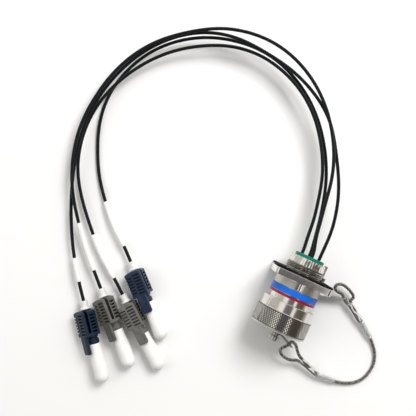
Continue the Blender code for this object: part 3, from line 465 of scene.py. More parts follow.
shell_shape.faces.ensure_lookup_table()
for face in shell_shape.faces:
    middle = face.calc_center_median()
    out = math.hypot(middle.x, middle.y)
    if RED_RING_END - EDGE < middle.z < BAND_END + EDGE and out > BAND_SEAT + EDGE:
        face.material_index = 1
    if PAD_END < middle.z < -FLANGE_THICKNESS and out > PAD_RADIUS - 0.1 * MM:
        face.material_index = 2
    # Faces deep in the thread's grooves take the painted shade.
    if THREAD_START < middle.z < CROWN_START and BORE_RADIUS + EDGE < out < THREAD_CREST - 0.6 * THREAD_DEPTH:
        face.material_index = 3

half_spacing = HOLE_SPACING / 2
holes = [
    circle(across, up, HOLE_RADIUS)
    for across in (-half_spacing, half_spacing)
    for up in (-half_spacing, half_spacing)
]
flange = cut_sheet(
    [rounded_square(FLANGE_SIDE, FLANGE_CORNER), circle(0, 0, RELIEF_RADIUS - EDGE, 96), *holes],
    FLANGE_THICKNESS,
    EDGE,
    low=-FLANGE_THICKNESS,
)
add_shape(shell_shape, flange)
fit(make_piece("receptacle_shell", shell_shape, RECEPTACLE, [nickel, red_paint, satin_nickel, thread_shade]),
    "receptacle", "nickel_plate", "shell")


# The identification band: a thin blue film printed and wrapped round the neck between the pads and
# the red ring. It is held by its own shrink and left bare.
BAND_WALL_INSIDE = BAND_SEAT + 0.3 * MM
band_front, band_rear, band_outer = span("id_band")
blue_film = new_finish("blue_band", (0.006, 0.14, 0.68), 0.4, specular=0.3)
add_mottle(blue_film, 300, (0.004, 0.12, 0.6), (0.008, 0.155, 0.72), (0.34, 0.48))
band_profile = rounded([
    (BAND_WALL_INSIDE, -10 * MM), (BAND_WALL_INSIDE, band_rear), (band_outer, band_rear),
    (band_outer, band_front), (BAND_WALL_INSIDE, band_front), (BAND_WALL_INSIDE, -11 * MM),
], 0.15 * MM)
fit(make_piece("identification_band", turned(band_profile, 160, closed=True), RECEPTACLE, [blue_film]),
    "receptacle", "blue_band", "id_band")


# The panel gasket: a sheet of black rubber, punched to the flange's outline, that slides over the
# rear thread and lies on the flange's rear face.
gasket_front, gasket_rear, gasket_half = span("panel_gasket")
black_rubber = new_finish("black_rubber", (0.008, 0.008, 0.008), 0.85, specular=0.12)
add_mottle(black_rubber, 400, (0.006, 0.006, 0.006), (0.012, 0.012, 0.012), (0.75, 0.95))
add_grain(black_rubber, 2600, 0.3)
gasket = cut_sheet(
    [rounded_square(2 * gasket_half, FLANGE_CORNER), circle(0, 0, THREAD_CREST + 0.3 * MM, 96), *holes],
    gasket_rear - gasket_front,
    0.3 * MM,
    low=gasket_front,
)
fit(make_piece("flange_gasket", gasket, RECEPTACLE, [black_rubber]),
    "receptacle", "black_rubber", "panel_gasket")


# The grommet: moulded green silicone, pressed into the shell's bore. Each fibre passes through its
# own hole with a raised lip, and the rubber seals on the cable's jacket.
GROMMET_RADIUS = 9.4 * MM
GROMMET_END = 13.2 * MM
FIBRE_CIRCLE = 5.7 * MM
FIBRE_HOLE_RADIUS = 1.4 * MM
FIBRE_HOLE_DEPTH = 2.5 * MM
grommet_start = span("grommet")[0]
green_rubber = new_finish("green_rubber", (0.0, 0.17, 0.11), 0.55, specular=0.3)
add_mottle(green_rubber, 420, (0.0, 0.145, 0.095), (0.0, 0.19, 0.125), (0.48, 0.64))
add_grain(green_rubber, 1800, 0.2)
grommet = turned_solid([
    (0.5 * MM, GROMMET_END), (GROMMET_RADIUS, GROMMET_END), (GROMMET_RADIUS, grommet_start),
    (0.5 * MM, grommet_start),
], 0.7 * MM, 96, steps=5)
grommet_piece = make_piece("fibre_grommet", grommet, RECEPTACLE, [green_rubber])
drill = bmesh.new()
for quarter in range(4):
    turn = quarter * math.pi / 2
    place = (FIBRE_CIRCLE * math.cos(turn), FIBRE_CIRCLE * math.sin(turn), GROMMET_END)
    bmesh.ops.create_cone(
        drill, cap_ends=True, segments=32, radius1=FIBRE_HOLE_RADIUS, radius2=FIBRE_HOLE_RADIUS,
        depth=2 * FIBRE_HOLE_DEPTH, matrix=Matrix.Translation(place),
    )


def combine(piece, operation, other_shape, place):
    """Cuts a shape out of a piece or joins it on, and leaves the piece a plain mesh."""
    other = make_piece("other", other_shape, place, [])
    change = piece.modifiers.new("change", "BOOLEAN")
    change.operation = operation
    change.object = other
    mesh = plain_mesh(piece)
    piece.modifiers.clear()
    piece.data = mesh
    bpy.data.objects.remove(other)


combine(grommet_piece, "DIFFERENCE", drill, RECEPTACLE)
fit(grommet_piece, "receptacle", "green_rubber", "grommet")


# The contact insert: a dark moulded disc deep in the front barrel, behind the cap. It carries the
# fibres' ferrules and shows only with the cap off, so the frame's own solid keeps its place.
insert_plastic = new_finish("insert_plastic", (0.03, 0.03, 0.03), 0.5)
add_mottle(insert_plastic, 500, (0.024, 0.024, 0.024), (0.04, 0.04, 0.04), (0.42, 0.6))
insert_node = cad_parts["contact_insert"]
insert_node.data.materials.clear()
insert_node.data.materials.append(insert_plastic)


# The flange screw and its nuts: a blackened steel screw through one corner hole, with a plain nut
# behind the gasket and another as a spacer in front of the flange.
SCREW_RADIUS = 1.4 * MM
SCREW_PITCH = 0.5 * MM
screw_tip, screw_end, SCREW_HEAD_RADIUS = span("flange_screw")
SCREW_HEAD_LENGTH = 1.9 * MM
SCREW_THREAD_DEPTH = 0.17 * MM
SCREW_THREAD_START = 0.3 * MM
SHANK_ROWS = 150
CROSS_REACH = 1.5 * MM
CROSS_HALF_WIDTH = 0.275 * MM
CROSS_DEPTH = 0.9 * MM
CROSS_TURN = 0.4
NUT_CLEARANCE = 0.15 * MM
NUT_EDGE = 0.3 * MM
CORNER = RECEPTACLE @ Matrix.Translation((half_spacing, half_spacing, 0))
dark_steel = new_finish("dark_steel", (0.4, 0.39, 0.37), 0.3, 1.0)
add_mottle(dark_steel, 600, (0.3, 0.292, 0.275), (0.5, 0.49, 0.47), (0.22, 0.4))
steel = new_finish("stainless_steel", (0.55, 0.545, 0.53), 0.27, 1.0)
add_mottle(steel, 420, (0.4, 0.395, 0.38), (0.58, 0.575, 0.56), (0.16, 0.3))
add_grain(steel, 1500, 0.15, stretch=(1, 0.15, 0.15))


def cut_screw_thread(angle, radius, along):
    if screw_tip + SCREW_HEAD_LENGTH + SCREW_PITCH < along < screw_end - SCREW_THREAD_START:
        phase = (along / SCREW_PITCH - angle / (2 * math.pi)) % 1
        return radius - SCREW_THREAD_DEPTH * (1 - abs(2 * phase - 1)), along
    return radius, along


shank = [(SCREW_RADIUS - 0.2 * MM, screw_end), (SCREW_RADIUS, screw_end - 0.25 * MM)]
shank_length = screw_end - screw_tip - SCREW_HEAD_LENGTH
threaded = shank_length - 2 * SCREW_THREAD_START
shank += [(SCREW_RADIUS, screw_end - SCREW_THREAD_START - threaded * row / SHANK_ROWS)
          for row in range(SHANK_ROWS + 1)]
head_top = screw_tip + SCREW_HEAD_LENGTH
head = rounded([(SCREW_RADIUS, head_top), (SCREW_HEAD_RADIUS, head_top),
                (SCREW_HEAD_RADIUS, head_top - 0.65 * SCREW_HEAD_LENGTH),
                (0.62 * SCREW_HEAD_RADIUS, screw_tip), (0.2 * MM, screw_tip)], 0.5 * MM, 4)
screw_shape = turned([(0, screw_end), *shank, *head, (0, screw_tip)], 32, warp=cut_screw_thread)
screw_piece = make_piece("panel_screw", screw_shape, CORNER, [dark_steel])
cross = []
for quarter in range(4):
    turn = Matrix.Rotation(CROSS_TURN + quarter * math.pi / 2, 3, "Z")
    for x, y in ((CROSS_REACH, -CROSS_HALF_WIDTH), (CROSS_REACH, CROSS_HALF_WIDTH),
                 (CROSS_HALF_WIDTH, CROSS_HALF_WIDTH)):
        cross.append(turn @ Vector((x, y, 0)))
outside = Vector((0, 0, screw_tip - CROSS_DEPTH))
inside = Vector((0, 0, screw_tip + CROSS_DEPTH))
recess = bmesh.new()
skin(recess, [[outside], [outside + point for point in cross], [inside + point for point in cross], [inside]])
combine(screw_piece, "DIFFERENCE", recess, CORNER)
fit(screw_piece, "receptacle", "dark_steel", "flange_screw")

for nut in ("rear_nut", "spacer_nut"):
    nut_low, nut_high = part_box(nut)
    nut_radius = (nut_high.z - nut_low.z) / 2
    hexagon = [(nut_radius * math.cos(turn * math.pi / 3),
                nut_radius * math.sin(turn * math.pi / 3)) for turn in range(6)]
    nut_hole = circle(0, 0, SCREW_RADIUS + NUT_CLEARANCE)
    nut_shape = cut_sheet([hexagon, nut_hole], nut_high.y - nut_low.y, NUT_EDGE)
    turn_up = Matrix.Rotation(math.pi / 2, 4, "Z")
    lift = Matrix.Translation((0, 0, nut_low.y - FLANGE_REAR))
    fit(make_piece(nut.replace("_nut", "_hexagon_nut"), nut_shape, CORNER @ lift @ turn_up, [steel]),
        "receptacle", "steel", nut)


# The straps: two tongues of stainless sheet with round ends. Each has a hole for its pin and one
# for the rope's eye, and is bent once between them. One is clamped on the flange screw, the other
# turns on the cap's post between two washers.
STRAP_WIDTH = 7.0 * MM
STRAP_THICKNESS = 0.9 * MM
STRAP_ROOT = 3.0 * MM
STRAP_EYE_MARGIN = 3.0 * MM
STRAP_EYE_RADIUS = 2.2 * MM
STRAP_END_RADIUS = 3.2 * MM
STRAP_EDGE = 0.12 * MM
STRAP_CLEARANCE = 0.3 * MM
BEND_REACH = 0.8 * MM
BEND_CUTS = 7
FLANGE_STRAP_ARM = 19.7 * MM
FLANGE_STRAP_BEND = math.radians(18.5)
FLANGE_STRAP_FOOT = -7.9 * MM


def bent_strap(arm, bend, pin_radius):
    """A strap's shape, its root flat on z = 0 round the pin at the origin, its arm along X."""
    blank = []
    for quarter in range(4):
        x = STRAP_ROOT + arm - STRAP_END_RADIUS if quarter in (0, 3) else STRAP_END_RADIUS - STRAP_WIDTH / 2
        y = (STRAP_WIDTH / 2 - STRAP_END_RADIUS) * (1 if quarter < 2 else -1)
        for step in range(9):
            turn = (quarter + step / 8) * math.pi / 2
            blank.append((x + STRAP_END_RADIUS * math.cos(turn), y + STRAP_END_RADIUS * math.sin(turn)))
    eye_hole = circle(STRAP_ROOT + arm - STRAP_EYE_MARGIN, 0, STRAP_EYE_RADIUS)
    pin_hole = circle(0, 0, pin_radius + STRAP_CLEARANCE)
    shape = cut_sheet([blank, pin_hole, eye_hole], STRAP_THICKNESS, STRAP_EDGE)
    start = STRAP_ROOT - BEND_REACH
    for cut in range(BEND_CUTS):
        place = (start + 2 * BEND_REACH * cut / (BEND_CUTS - 1), 0, 0)
        everything = [*shape.verts, *shape.edges, *shape.faces]
        bmesh.ops.bisect_plane(shape, geom=everything, plane_co=place, plane_no=(1, 0, 0))
    radius = 2 * BEND_REACH / bend
    for vert in shape.verts:
        reach = vert.co.x - start
        if reach <= 0:
            continue
        turn = min(reach / radius, bend) if bend > 0 else max(reach / radius, bend)
        beyond = max(0.0, reach - 2 * BEND_REACH)
        above = vert.co.z - STRAP_THICKNESS / 2
        x = start + radius * math.sin(turn) + beyond * math.cos(turn) - above * math.sin(turn)
        z = radius * (1 - math.cos(turn)) + beyond * math.sin(turn) + above * math.cos(turn)
        vert.co.x, vert.co.z = x, z + STRAP_THICKNESS / 2
    return shape


flange_strap = bent_strap(FLANGE_STRAP_ARM, FLANGE_STRAP_BEND, SCREW_RADIUS)
flange_strap_foot = Matrix.Translation((0, 0, FLANGE_STRAP_FOOT))
fit(make_piece("screw_strap", flange_strap, CORNER @ flange_strap_foot, [steel]),
    "receptacle", "steel", "flange_strap")


# The protective cap: a turned, nickel-plated cap that screws over the front barrel. Its collar is
# smooth, and the grip behind it is knurled with rows of small diamonds up to the chamfered end.
CAP_MOUTH = -18.5 * MM
COLLAR_END = -24.6 * MM
CAP_END = -36.8 * MM
CAP_FLOOR = -33.3 * MM
CAP_BORE = 13.7 * MM
COLLAR_RADIUS = 16.7 * MM
KNURL_RADIUS = 17.8 * MM
KNURL_HEIGHT = 0.5 * MM
KNURL_CHAMFER = 0.8 * MM
KNURL_AROUND = 70
KNURL_ROWS = 10
RIM = 0.35 * MM
POST_BORE = 1.9 * MM
POST_BORE_DEPTH = 2.6 * MM
KNURL_STEP = 0.2 * MM


def maths(tree, operation, first, second=0.0):
    return node(tree, "ShaderNodeMath", {0: first, 1: second}, operation=operation).outputs[0]


def new_tree(name, inputs):
    """A geometry tree with named inputs, and the sockets that they come in by."""
    tree = bpy.data.node_groups.new(name, "GeometryNodeTree")
    tree.interface.new_socket("Geometry", in_out="OUTPUT", socket_type="NodeSocketGeometry")
    tree.interface.new_socket("Geometry", in_out="INPUT", socket_type="NodeSocketGeometry")
    for label, kind in inputs.items():
        tree.interface.new_socket(label, in_out="INPUT", socket_type="NodeSocket" + kind)
    return tree, tree.nodes.new("NodeGroupInput").outputs


def end_tree(tree, geometry, material):
    """Ends a tree by realizing its instances and giving them their material."""
    real = node(tree, "GeometryNodeRealizeInstances", {"Geometry": geometry}).outputs[0]
    painted = node(tree, "GeometryNodeSetMaterial", {"Geometry": real, "Material": material}).outputs[0]
    node(tree, "NodeGroupOutput", {"Geometry": painted})


def grown(tree, values, data=None):
    """The plain mesh that a tree makes with these values."""
    guide = new_object("guide", data or bpy.data.meshes.new("guide"))
    modifier = guide.modifiers.new("growth", "NODES")
    modifier.node_group = tree
    for item in tree.interface.items_tree:
        if item.in_out == "INPUT" and item.name in values:
            modifier[item.identifier] = values[item.name]
    guide.update_tag()
    bpy.context.view_layer.update()
    mesh = plain_mesh(guide)
    guide.modifiers.clear()
    bpy.data.objects.remove(guide)
    return mesh


DIAMOND_TOP, DIAMOND_FOOT = 0.68, 0.95
knurl_tree, knurl = new_tree("knurl", {
    "Around": "Int", "Rows": "Int", "Radius": "Float", "Start": "Float", "Row Step": "Float",
    "Height": "Float", "Material": "Material",
})
index = node(knurl_tree, "GeometryNodeInputIndex", {}).outputs[0]
row_number = maths(knurl_tree, "FLOOR", maths(knurl_tree, "DIVIDE", index, knurl["Around"]))
shift = maths(knurl_tree, "MULTIPLY", maths(knurl_tree, "MODULO", row_number, 2.0), 0.5)
place_in_row = maths(knurl_tree, "ADD", maths(knurl_tree, "MODULO", index, knurl["Around"]), shift)
pitch_angle = maths(knurl_tree, "DIVIDE", 2 * math.pi, knurl["Around"])
knurl_angle = maths(knurl_tree, "MULTIPLY", place_in_row, pitch_angle)
knurl_drop = maths(knurl_tree, "MULTIPLY", row_number, knurl["Row Step"])
knurl_place = node(knurl_tree, "ShaderNodeCombineXYZ", {
    "X": maths(knurl_tree, "MULTIPLY", maths(knurl_tree, "COSINE", knurl_angle), knurl["Radius"]),
    "Y": maths(knurl_tree, "MULTIPLY", maths(knurl_tree, "SINE", knurl_angle), knurl["Radius"]),
    "Z": maths(knurl_tree, "SUBTRACT", knurl["Start"], knurl_drop),
}).outputs[0]
knurl_points = node(knurl_tree, "GeometryNodePoints", {
    "Count": maths(knurl_tree, "MULTIPLY", knurl["Around"], knurl["Rows"]), "Position": knurl_place,
}).outputs[0]
diamond = node(knurl_tree, "GeometryNodeMeshCone", {
    "Vertices": 4, "Radius Top": DIAMOND_TOP, "Radius Bottom": DIAMOND_FOOT, "Depth": 1.0,
}).outputs["Mesh"]
knurl_turn = node(knurl_tree, "ShaderNodeCombineXYZ", {"Y": math.pi / 2, "Z": knurl_angle}).outputs[0]
half_pitch = maths(knurl_tree, "MULTIPLY", maths(knurl_tree, "MULTIPLY", pitch_angle, 0.5), knurl["Radius"])
knurl_size = node(knurl_tree, "ShaderNodeCombineXYZ", {
    "X": knurl["Row Step"], "Y": half_pitch, "Z": knurl["Height"],
}).outputs[0]
knurl_instances = node(knurl_tree, "GeometryNodeInstanceOnPoints", {
    "Points": knurl_points, "Instance": diamond, "Rotation": knurl_turn, "Scale": knurl_size,
}).outputs[0]
end_tree(knurl_tree, knurl_instances, knurl["Material"])

knurl_top = COLLAR_END - RIM
knurl_bottom = CAP_END + KNURL_CHAMFER + RIM
row_step = (knurl_top - knurl_bottom) / (KNURL_ROWS + 1)
KNURL_ROOT = KNURL_RADIUS - KNURL_HEIGHT
cap_profile = rounded([
    (CAP_BORE, CAP_MOUTH - 8 * MM), (CAP_BORE, CAP_MOUTH), (COLLAR_RADIUS, CAP_MOUTH),
    (COLLAR_RADIUS, COLLAR_END), (KNURL_RADIUS, COLLAR_END), (KNURL_RADIUS, knurl_top),
    (KNURL_ROOT, knurl_top - KNURL_STEP), (KNURL_ROOT, knurl_bottom + KNURL_STEP),
    (KNURL_RADIUS, knurl_bottom), (KNURL_RADIUS, CAP_END + KNURL_CHAMFER),
    (KNURL_RADIUS - KNURL_CHAMFER, CAP_END), (POST_BORE, CAP_END), (POST_BORE, CAP_END + POST_BORE_DEPTH),
], EDGE)
hollow = rounded([(1 * MM, CAP_FLOOR), (CAP_BORE, CAP_FLOOR), (CAP_BORE, CAP_MOUTH - 9 * MM)], EDGE)
cap_shape = turned([(0, CAP_FLOOR), *hollow, *cap_profile, (0, CAP_END + POST_BORE_DEPTH)], 168)
# The knurl's valleys between the diamonds are painted a dark nickel: painted shade.
knurl_painted_shade = new_finish("knurl_painted_shade", (0.16, 0.15, 0.13), 0.5, 1.0)
add_mottle(knurl_painted_shade, 420, (0.12, 0.112, 0.098), (0.2, 0.19, 0.165), (0.42, 0.58))
cap_shape.from_mesh(grown(knurl_tree, {
    "Around": KNURL_AROUND, "Rows": KNURL_ROWS, "Radius": KNURL_ROOT - 0.03 * MM,
    "Start": knurl_top - row_step, "Row Step": row_step, "Height": KNURL_HEIGHT, "Material": nickel,
}))
# Faces low between the diamonds take the painted shade; the chamfered end takes the satin nickel.
for face in cap_shape.faces:
    middle = face.calc_center_median()
    out = math.hypot(middle.x, middle.y)
    in_knurl = knurl_bottom < middle.z < knurl_top and out > CAP_BORE + 1 * MM
    face.material_index = 1 if in_knurl and out < KNURL_ROOT + 0.8 * KNURL_HEIGHT else 0
    if middle.z < CAP_END + KNURL_CHAMFER:
        face.material_index = 2
fit(make_piece("knurled_cap", cap_shape, RECEPTACLE, [nickel, knurl_painted_shade, satin_nickel]),
    "cap", "nickel_plate", "protective_cap")


# The post: a turned stud pressed into the cap's end, with a waist for the strap and a round head
# that keeps it on. A thin washer lies on each side of the strap.
POST_RADIUS = 1.6 * MM
POST_HEAD_LENGTH = 3.2 * MM
DIMPLE_DEPTH = 0.25 * MM
post_tip, post_top, POST_HEAD_RADIUS = span("cap_post")
head_start = post_tip + POST_HEAD_LENGTH
post_shape = turned_solid([
    (0.3 * MM, post_top), (POST_RADIUS, post_top), (POST_RADIUS, head_start), (POST_HEAD_RADIUS, head_start),
    (POST_HEAD_RADIUS, post_tip + 0.5 * MM), (POST_HEAD_RADIUS - 0.5 * MM, post_tip),
    (1.4 * MM, post_tip), (1.1 * MM, post_tip + DIMPLE_DEPTH), (0.3 * MM, post_tip + DIMPLE_DEPTH),
], 0.15 * MM, 64)
fit(make_piece("cap_stud", post_shape, RECEPTACLE, [steel]), "cap", "nickel_plate", "cap_post")

for washer in ("inner_washer", "outer_washer"):
    washer_front, washer_rear, washer_radius = span(washer)
    rims = [circle(0, 0, washer_radius, 48)[::-1], circle(0, 0, POST_BORE)]
    washer_shape = cut_sheet(rims, washer_rear - washer_front, STRAP_EDGE)
    lift = Matrix.Translation((0, 0, washer_front))
    fit(make_piece(washer.replace("_", "_strap_"), washer_shape, RECEPTACLE @ lift, [steel]),
        "cap", "steel", washer)

CAP_STRAP_ARM = 13.0 * MM
CAP_STRAP_BEND = math.radians(-24)
CAP_STRAP_DROOP = math.radians(22)
cap_strap = bent_strap(CAP_STRAP_ARM, CAP_STRAP_BEND, POST_RADIUS)
strap_top = span("inner_washer")[0] - STRAP_CLEARANCE
strap_foot = Matrix.Translation((0, 0, strap_top - STRAP_THICKNESS))
droop = Matrix.Rotation(CAP_STRAP_DROOP, 4, "Z")
fit(make_piece("post_strap", cap_strap, RECEPTACLE @ droop @ strap_foot, [steel]),
    "lanyard_end", "steel", "cap_strap")


# The lanyard's ferrules: short oval tubes of stainless steel, slipped over both legs of the rope's
# eye and crimped flat in the middle, which leaves a waist.
GAP = 0.3 * MM
UPPER_FERRULE = ((37.4, 11.8, 4.95), (48.6, 4.4, 3.8))
LOWER_FERRULE = ((24.2, -34.4, 6.7), (36.5, -38.2, 4.2))
FERRULE_LENGTH = 13.0 * MM
FERRULE_HALF_WIDTH = 2.35 * MM
FERRULE_FLATNESS = 0.74
FERRULE_WAIST = 0.86
FERRULE_ROWS = 24
bright_steel = new_finish("polished_steel", (0.66, 0.655, 0.645), 0.14, 1.0)
add_mottle(bright_steel, 500, (0.74, 0.735, 0.725), (0.86, 0.855, 0.845), (0.08, 0.16))


def ferrule_frame(start, end):
    """A ferrule's middle, direction and side, and its frame with Z along it."""
    start, end = Vector(start) * MM, Vector(end) * MM
    way = (end - start).normalized()
    side = way.cross(Vector((0, 0, 1))).normalized()
    turn = Matrix((side, way.cross(side), way)).transposed().to_4x4()
    return (start + end) / 2, way, side, Matrix.Translation((start + end) / 2) @ turn


def crimped(angle, radius, along):
    """Presses the ferrule's middle in from above and below."""
    press = max(0.0, 1 - abs(along) / (0.36 * FERRULE_LENGTH))
    press = press * press * (3 - 2 * press)
    flat = 1 - 0.22 * press * math.sin(angle) ** 2
    return radius * flat * (1 - (1 - FERRULE_WAIST) * press * 0.7 * math.cos(angle) ** 2), along


half = FERRULE_LENGTH / 2
ferrule_rows = [
    (FERRULE_HALF_WIDTH, half * (1 - 2 * row / FERRULE_ROWS)) for row in range(1, FERRULE_ROWS)
]
ferrule_profile = [(0, half), *rounded([(0.5 * MM, half), (FERRULE_HALF_WIDTH, half), ferrule_rows[0]], EDGE)]
ferrule_profile += ferrule_rows[1:-1]
ferrule_profile += rounded([ferrule_rows[-1], (FERRULE_HALF_WIDTH, -half), (0.5 * MM, -half)], EDGE)
ferrule_profile += [(0, -half)]
squeeze = Matrix.Diagonal((1, FERRULE_FLATNESS, 1, 1))
for name, ends, body in (("upper", UPPER_FERRULE, "receptacle"), ("lower", LOWER_FERRULE, "lanyard_end")):
    place = ferrule_frame(*ends)[3]
    ferrule = turned(ferrule_profile, 48, warp=crimped)
    piece = make_piece(f"{name}_crimp", ferrule, place @ squeeze, [bright_steel])
    fit(piece, body, "steel", f"{name}_ferrule")


# The lanyard's rope: six stainless strands laid round each other in a clear coat, 2.2 mm across. It
# runs from ferrule to ferrule and turns back beyond each one in an eye through its strap's hole.
ROPE_RADIUS = 1.1 * MM
STRANDS = 6
STRAND_RADIUS = 0.365 * MM
ROPE_LAY = 9.0 * MM
ROPE_STEP = 0.55 * MM
ROPE_RUN = [
    (54, 0.8, 3.1), (58.5, -2.4, 2.5), (63, -6.5, 1.9), (66.7, -11.6, 1.5), (68.5, -17.5, 1.3),
    (68, -24, 1.3), (65.5, -30, 1.3), (61.5, -34, 1.4), (56, -36.7, 1.8), (49, -38.2, 2.5),
    (42, -38.6, 3.4),
]
UPPER_EYE = [
    (34.5, 12.0, 4.75), (32.9, 13.4, 4.55), (31.4, 14.9, 4.75), (29.3, 15.5, 5.15), (27, 15.6, 5.55),
    (25.1, 16.5, 5.85), (24.4, 18.3, 6.05), (25.8, 20.3, 6.05), (28.6, 21, 6.05), (32, 20.3, 5.75),
    (35.6, 18.7, 5.25), (38.0, 15.9, 5.05),
]
LOWER_EYE = [
    (20.6, -31.2, 8.65), (17.6, -28.1, 11.15), (14.6, -25.4, 13.25), (12.2, -25.2, 14.15),
    (11.1, -27.5, 14.15), (9.4, -30, 13.55), (8.0, -32.6, 12.25), (9.8, -35.2, 10.75),
    (13.6, -36.6, 9.25), (18, -36.5, 7.95),
]


def smooth_path(points, step):
    """Evenly spaced points, about a step apart, on the natural cubic spline through the given ones."""
    points = np.array([tuple(point) for point in points], float)
    steps = np.linalg.norm(np.diff(points, axis=0), axis=1)
    knots = np.concatenate([[0], np.cumsum(steps)])
    size = len(points)
    system = np.eye(size)
    sides = np.zeros((size, 3))
    for i in range(1, size - 1):
        before, after = steps[i - 1], steps[i]
        system[i, i - 1 : i + 2] = before, 2 * (before + after), after
        sides[i] = 6 * ((points[i + 1] - points[i]) / after - (points[i] - points[i - 1]) / before)
    bends = np.linalg.solve(system, sides)
    places = np.linspace(0, knots[-1], 40 * size)
    i = np.clip(np.searchsorted(knots, places, side="right") - 1, 0, size - 2)
    span = steps[i][:, None]
    left, right = (knots[i + 1] - places)[:, None], (places - knots[i])[:, None]
    curve = (bends[i] * left**3 + bends[i + 1] * right**3) / (6 * span)
    start = points[i] / span - bends[i] * span / 6
    end = points[i + 1] / span - bends[i + 1] * span / 6
    return spaced(curve + start * left + end * right, step)


def lengths_along(path):
    return np.concatenate([[0], np.cumsum(np.linalg.norm(np.diff(path, axis=0), axis=1))])


def spaced(path, step, start=0.0, end=None):
    """Evenly spaced points on a stretch of a path."""
    along = lengths_along(path)
    end = along[-1] if end is None else end
    places = np.linspace(start, end, max(2, round((end - start) / step)) + 1)
    return np.column_stack([np.interp(places, along, path[:, axis]) for axis in range(3)])


def line_through(path):
    curve = bpy.data.curves.new("path", "CURVE")
    curve.dimensions = "3D"
    line = curve.splines.new("POLY")
    line.points.add(len(path) - 1)
    for point, place in zip(line.points, path):
        point.co = (*place, 1)
    return curve


strand_steel = new_finish("rope_steel", (0.5, 0.495, 0.47), 0.3, 1.0)
add_mottle(strand_steel, 900, (0.24, 0.235, 0.22), (0.52, 0.515, 0.49), (0.18, 0.36))
strand_coat = shader_of(strand_steel).inputs
strand_coat["Coat Weight"].default_value = 0.6
strand_coat["Coat Roughness"].default_value = 0.12

rope_tree, rope = new_tree("laid_rope", {
    "Strands": "Int", "Strand Radius": "Float", "Lay": "Float", "Material": "Material",
})
run = node(rope_tree, "GeometryNodeSplineParameter", {}).outputs["Length"]
twist = maths(rope_tree, "MULTIPLY", maths(rope_tree, "DIVIDE", run, rope["Lay"]), 2 * math.pi)
laid = node(rope_tree, "GeometryNodeSetCurveTilt", {"Curve": rope["Geometry"], "Tilt": twist}).outputs[0]
centre_radius = maths(rope_tree, "DIVIDE", rope["Strand Radius"], math.sin(math.pi / STRANDS))
centres = node(rope_tree, "GeometryNodeCurvePrimitiveCircle", {
    "Resolution": rope["Strands"], "Radius": centre_radius,
}).outputs["Curve"]
strand = node(rope_tree, "GeometryNodeCurvePrimitiveCircle", {
    "Resolution": 8, "Radius": rope["Strand Radius"],
}).outputs["Curve"]
strands = node(rope_tree, "GeometryNodeInstanceOnPoints", {"Points": centres, "Instance": strand}).outputs[0]
section = node(rope_tree, "GeometryNodeRealizeInstances", {"Geometry": strands}).outputs[0]
swept = node(rope_tree, "GeometryNodeCurveToMesh", {
    "Curve": laid, "Profile Curve": section, "Fill Caps": True,
}).outputs[0]
end_tree(rope_tree, swept, rope["Material"])


def laid_rope(name, path):
    mesh = grown(rope_tree, {
        "Strands": STRANDS, "Strand Radius": STRAND_RADIUS, "Lay": ROPE_LAY, "Material": strand_steel,
    }, line_through(path))
    return make_piece(name, shape_of(mesh), Matrix.Identity(4), [strand_steel], crease=60)


def bend_between_bodies(piece, node_name):
    """Bakes the placement of a piece that runs from the receptacle to the cap into its mesh, and hides the
    node that it stands for.
    """
    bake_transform(piece)
    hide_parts(node_name)
    return piece


upper_middle, upper_way, upper_side, _ = ferrule_frame(*UPPER_FERRULE)
lower_middle, lower_way, lower_side, _ = ferrule_frame(*LOWER_FERRULE)
rope_start = upper_middle + upper_way * (half + GAP)
rope_end = lower_middle + lower_way * (half + GAP)
rope_points = [rope_start, rope_start + upper_way * 2 * ROPE_RADIUS]
rope_points += [Vector(point) * MM for point in ROPE_RUN]
rope_points += [rope_end + lower_way * 2 * ROPE_RADIUS, rope_end]
rope_path = smooth_path(rope_points, ROPE_STEP)
rope_length = lengths_along(rope_path)[-1]
rope_piece = bend_between_bodies(laid_rope("wire_rope_run", rope_path), "lanyard_rope")

for name, middle, way, side, points, body in (
    ("upper", upper_middle, upper_way, -upper_side, UPPER_EYE, "receptacle"),
    ("lower", lower_middle, lower_way, -lower_side, LOWER_EYE, "lanyard_end"),
):
    mouth = middle - way * (half + 1.5 * GAP)
    leg = side * (ROPE_RADIUS + GAP / 2)
    first, last = mouth - leg, mouth + leg
    opening = Vector(points[0]) * MM
    if (opening - first).length > (opening - last).length:
        first, last = last, first
    loop = [first, first - way * 0.8 * MM]
    loop += [Vector(point) * MM for point in points]
    loop += [last - way * 0.8 * MM, last]
    piece = laid_rope(f"{name}_rope_eye", smooth_path(loop, ROPE_STEP))
    fit(piece, body, "wire_rope", f"{name}_eye")


# The shrink sleeves: clear heat-shrink tube over the rope's first stretch beyond each ferrule, drawn
# down by heat, which keeps the cut wires in.
SHRINK_LENGTH = 13.0 * MM
SHRINK_WALL = 0.35 * MM
SLEEVE_CLEARANCE = 0.3 * MM
clear_plastic = new_finish("clear_shrink", (0.82, 0.83, 0.84), 0.07)
clear_look = shader_of(clear_plastic).inputs
clear_look["Transmission Weight"].default_value = 0.7
clear_look["IOR"].default_value = 1.4
add_grain(clear_plastic, 700, 0.12)


def sleeve_shape(path, inner, outer, sides=32):
    """A tube round a path. inner and outer give the radii at a share of its length."""
    tangents = np.gradient(path, axis=0)
    tangents /= np.linalg.norm(tangents, axis=1)[:, None]
    side = np.cross(tangents[0], (0, 0, 1.0))
    rows_in, rows_out = [], []
    for number, (centre, way) in enumerate(zip(path, tangents)):
        side = side - way * (side @ way)
        side /= np.linalg.norm(side)
        up = np.cross(way, side)
        share = number / (len(path) - 1)
        turns = [2 * math.pi * step / sides for step in range(sides)]
        spokes = [math.cos(turn) * side + math.sin(turn) * up for turn in turns]
        rows_in.append([tuple(centre + inner(share) * spoke) for spoke in spokes])
        rows_out.append([tuple(centre + outer(share) * spoke) for spoke in spokes])
    shape = bmesh.new()
    skin(shape, rows_out + rows_in[::-1], closed=True)
    return shape


